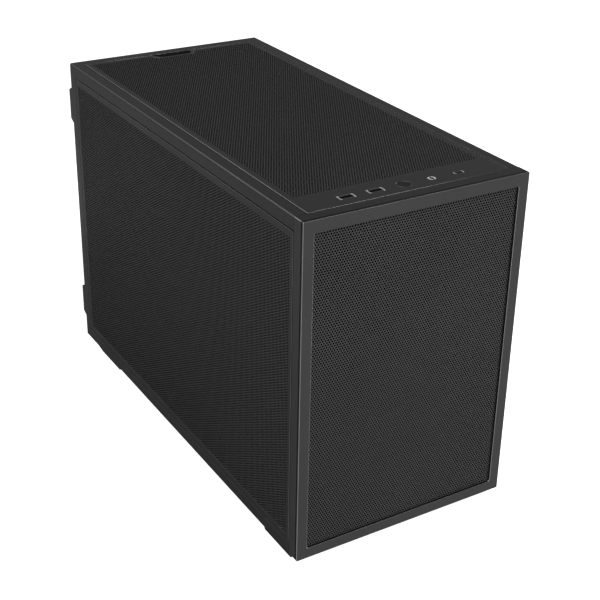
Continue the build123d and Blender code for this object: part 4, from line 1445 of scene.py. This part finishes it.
@dataclass
class FilterNet:
    """A fine net stretched in its frame, with a slight slack between the edges, in millimetres.

    Args:
        node: The CAD node that it stands for.
        placing: Place of its outer face.
        half_wide: Half of its width.
        half_tall: Half of its height.
        thick: Its thickness.
        slack: How far its middle sinks.
        count: Points across its width and its height.
    """

    node: str
    placing: Placing
    half_wide: float
    half_tall: float
    thick: float = 0.3
    slack: float = 0.05
    count: Tuple[int, int] = (25, 37)

    def shape(self) -> Tuple[Shape, np.ndarray]:
        """Works out the net as a closed thin sheet.

        Its middle surface sinks by slack * sin(pi u) * sin(pi v), with u and v from 0 to 1 across it, and
        the two faces lie half a thickness to each side.

        Returns:
            The shape, and the flat place of each of its points, in metres.
        """
        u, v = np.meshgrid(*(np.linspace(0, 1, steps) for steps in self.count), indexing="ij")
        sink = self.slack * np.sin(np.pi * u) * np.sin(np.pi * v)
        across, up = (2 * u - 1) * self.half_wide, (2 * v - 1) * self.half_tall
        layers = [np.stack([across, up, height], axis=-1) for height in (-sink, sink - self.thick)]
        points = np.concatenate([layer.reshape(-1, 3) for layer in layers])
        face = grid_faces(*self.count, False, False)
        size = self.count[0] * self.count[1]
        number = np.arange(size).reshape(self.count)
        edge = np.concatenate([number[:, 0], number[-1, 1:], number[-2::-1, -1], number[0, -2:0:-1]])
        after = np.roll(edge, -1)
        wall = np.stack([edge, after, after + size, edge + size], axis=1)
        shape = Shape(self.node + "_weave")
        shape.add(self.placing.place(points), [np.concatenate([face[:, ::-1], face + size, wall])])
        return shape, points[:, :2] * MM

    def build(self, palette: Palette) -> bpy.types.Object:
        """Builds the net, with its flat places as its UV map.

        Args:
            palette: The finishes.

        Returns:
            The object.
        """
        shape, flat = self.shape()
        piece = shape.build()
        corners = np.empty(len(piece.data.loops), dtype=np.int32)
        piece.data.loops.foreach_get("vertex_index", corners)
        layer = piece.data.uv_layers.new(name="flat")
        layer.data.foreach_set("uv", flat[corners].astype(np.float32).ravel())
        finish_piece(piece, palette, "filter_net", self.node)
        return piece


@dataclass
class KeptNodes:
    """The CAD nodes whose shape stays as it is, each with its finish.

    Args:
        own: Node and finish of each piece whose finish isn't that of its slot.
    """

    own: Tuple[Tuple[str, str], ...] = (
        ("usb_c_shell", "socket_c_metal"),
        # The outer frame takes the shell's coat, with the painted ledge shade.
        ("outer_frame", "shell_steel"),
    )

    def dress(self, palette: Palette) -> None:
        """Gives every node that still shows its own finish, or else that of its slot.

        Args:
            palette: The finishes.
        """
        slots = {entry["node"]: entry["material_slot"] for entry in frame["record"]["subparts"]}
        for name, node in frame["nodes"].items():
            if node.hide_render:
                continue
            finish = dict(self.own).get(name, slots[name])
            palette.dress(node, finish)
            LOG.info("%s keeps its shape, finish %s", name, finish)


# ---------------------------------------------------------------- floor, light and camera


@dataclass(frozen=True)
class Lamp:
    """One square soft light that looks at a point.

    Args:
        name: Name of the light.
        place: Where it hangs, in metres.
        aim: The point that it looks at.
        size: Side of the square.
        power: Power in watts.
    """

    name: str
    place: Point
    aim: Point
    size: float
    power: float

    def hang(self) -> None:
        """Puts the light into the scene."""
        light = bpy.data.lights.new(self.name, "AREA")
        light.shape, light.size, light.energy = "SQUARE", self.size, self.power
        made = bpy.data.objects.new(self.name, light)
        ahead = Vector(self.aim) - Vector(self.place)
        made.rotation_euler = ahead.to_track_quat("-Z", "Y").to_euler()
        made.location = self.place
        bpy.context.scene.collection.objects.link(made)


@dataclass
class Studio:
    """A plain pale floor, soft light and the camera at the photograph's angle.

    Args:
        eye: The camera's place, in millimetres.
        forward: Where it looks.
        right: The direction of the picture's right side.
        lens: Focal length in millimetres, on a sensor of the width below.
        sensor: Width of the sensor.
        shift: How far the picture is moved, as parts of its width.
        farthest: How far the camera sees, in metres.
        floor_half: Half of the floor's side, in metres.
        floor_shade: Its shade.
        surround: Strength of the even light from all round.
        lamps: The lights.
    """

    eye: Point = (-543.23, -943.0, 685.03)
    forward: Point = (0.47017, 0.76479, -0.44050)
    right: Point = (0.85645, -0.51590, 0.01845)
    lens: float = 74.68
    sensor: float = 36.0
    shift: Tuple[float, float] = (-0.0058, -0.0385)
    farthest: float = 50.0
    floor_half: float = 6.0
    floor_shade: float = 0.7
    surround: float = 0.2
    lamps: Tuple[Lamp, ...] = (
        Lamp("over_lamp", (0.75, -0.92, 1.54), (0.0, -0.22, 0.32), 0.5, 24.0),
        Lamp("rear_left_lamp", (-1.05, 1.5, 1.3), (-0.1, -0.2, 0.32), 0.5, 2.6),
        Lamp("left_lamp", (-1.1, -0.1, 0.9), (-0.2, 0.0, 0.05), 0.6, 2.6),
        Lamp("front_lamp", (0.1, -2.4, 0.3), (0.0, -0.2, 0.16), 1.0, 22.0),
    )

    def camera(self) -> None:
        """Sets the camera: its axes are right, up and back, with up as back x right."""
        lens = bpy.data.cameras.new("photo_camera")
        lens.lens, lens.sensor_width = self.lens, self.sensor
        lens.shift_x, lens.shift_y = self.shift
        lens.clip_end = self.farthest
        made = bpy.data.objects.new("photo_camera", lens)
        back = -Vector(self.forward).normalized()
        right = Vector(self.right)
        right = (right - back * right.dot(back)).normalized()
        turned = Matrix((right, back.cross(right), back)).transposed().to_4x4()
        made.matrix_world = Matrix.Translation(Vector(self.eye) * MM) @ turned
        bpy.context.scene.collection.objects.link(made)
        bpy.context.scene.camera = made

    def floor(self) -> None:
        """Lays the floor under the feet. The camera sees it as white where it lies open."""
        mesh = bpy.data.meshes.new("floor")
        half = self.floor_half
        corners = [(-half, -half, 0), (half, -half, 0), (half, half, 0), (-half, half, 0)]
        mesh.from_pydata(corners, [], [(0, 1, 2, 3)])
        made = bpy.data.objects.new("floor", mesh)
        bpy.context.scene.collection.objects.link(made)
        material = bpy.data.materials.new("pale_floor")
        material.use_nodes = True
        nodes, links = material.node_tree.nodes, material.node_tree.links
        shader = nodes["Principled BSDF"]
        shader.inputs["Base Color"].default_value = (*shade(self.floor_shade), 1.0)
        shader.inputs["Roughness"].default_value = 0.9
        shader.inputs["Specular IOR Level"].default_value = 0.1
        shader.inputs["Emission Strength"].default_value = 1.0
        glow = nodes.new("ShaderNodeGroup")
        glow.node_tree = footprint_group()
        path, white = nodes.new("ShaderNodeLightPath"), nodes.new("ShaderNodeMath")
        white.operation = "MULTIPLY"
        links.new(path.outputs["Is Camera Ray"], white.inputs[0])
        links.new(glow.outputs["Mask"], white.inputs[1])
        links.new(white.outputs[0], shader.inputs["Emission Color"])
        mesh.materials.append(material)

    def room(self) -> None:
        """Sets a dim even surround, which the camera sees as white."""
        world = bpy.data.worlds.new("pale_room")
        world.use_nodes = True
        nodes, links = world.node_tree.nodes, world.node_tree.links
        dim, white = nodes["Background"], nodes.new("ShaderNodeBackground")
        for background, strength in ((dim, self.surround), (white, 1.0)):
            background.inputs["Color"].default_value = (1.0, 1.0, 1.0, 1.0)
            background.inputs["Strength"].default_value = strength
        path, mixed = nodes.new("ShaderNodeLightPath"), nodes.new("ShaderNodeMixShader")
        links.new(path.outputs["Is Camera Ray"], mixed.inputs["Fac"])
        links.new(dim.outputs[0], mixed.inputs[1])
        links.new(white.outputs[0], mixed.inputs[2])
        links.new(mixed.outputs[0], nodes["World Output"].inputs["Surface"])
        bpy.context.scene.world = world

    def build(self) -> None:
        """Sets up the whole studio."""
        self.camera()
        self.floor()
        self.room()
        for lamp in self.lamps:
            lamp.hang()
        bpy.context.scene.view_settings.view_transform = "Standard"


@dataclass
class ComputerCase:
    """The whole case: its panels, nets and kept nodes. Sizes are in millimetres.

    Args:
        front_net: Place of the front net's outer face.
        front_net_half: Half of its width and of its height.
        bottom_net: Place of the bottom net's upper face.
        bottom_net_half: Half of its width and of its length.
    """

    front_net: Placing = Placing((0.0, -227.3, 164.1), (1, 0, 0), (0, 0, 1))
    front_net_half: Tuple[float, float] = (95.95, 143.55)
    bottom_net: Placing = Placing((0.0, 22.7, 8.7), (1, 0, 0), (0, 1, 0))
    bottom_net_half: Tuple[float, float] = (72.9, 180.5)

    def build(self) -> None:
        """Builds every piece in order."""
        palette = Palette()
        SidePanel(Side.LEFT).build(palette)
        SidePanel(Side.RIGHT).build(palette)
        RoofPanel().build(palette)
        FrontMesh().build(palette)
        FilterNet("front_filter_net", self.front_net, *self.front_net_half).build(palette)
        FilterNet("bottom_filter_net", self.bottom_net, *self.bottom_net_half).build(palette)
        KeptNodes().dress(palette)


def main() -> None:
    """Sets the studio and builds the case."""
    logging.basicConfig(level=logging.INFO, format="%(name)s: %(message)s")
    Studio().build()
    ComputerCase().build()


if __name__ == "__main__":
    main()
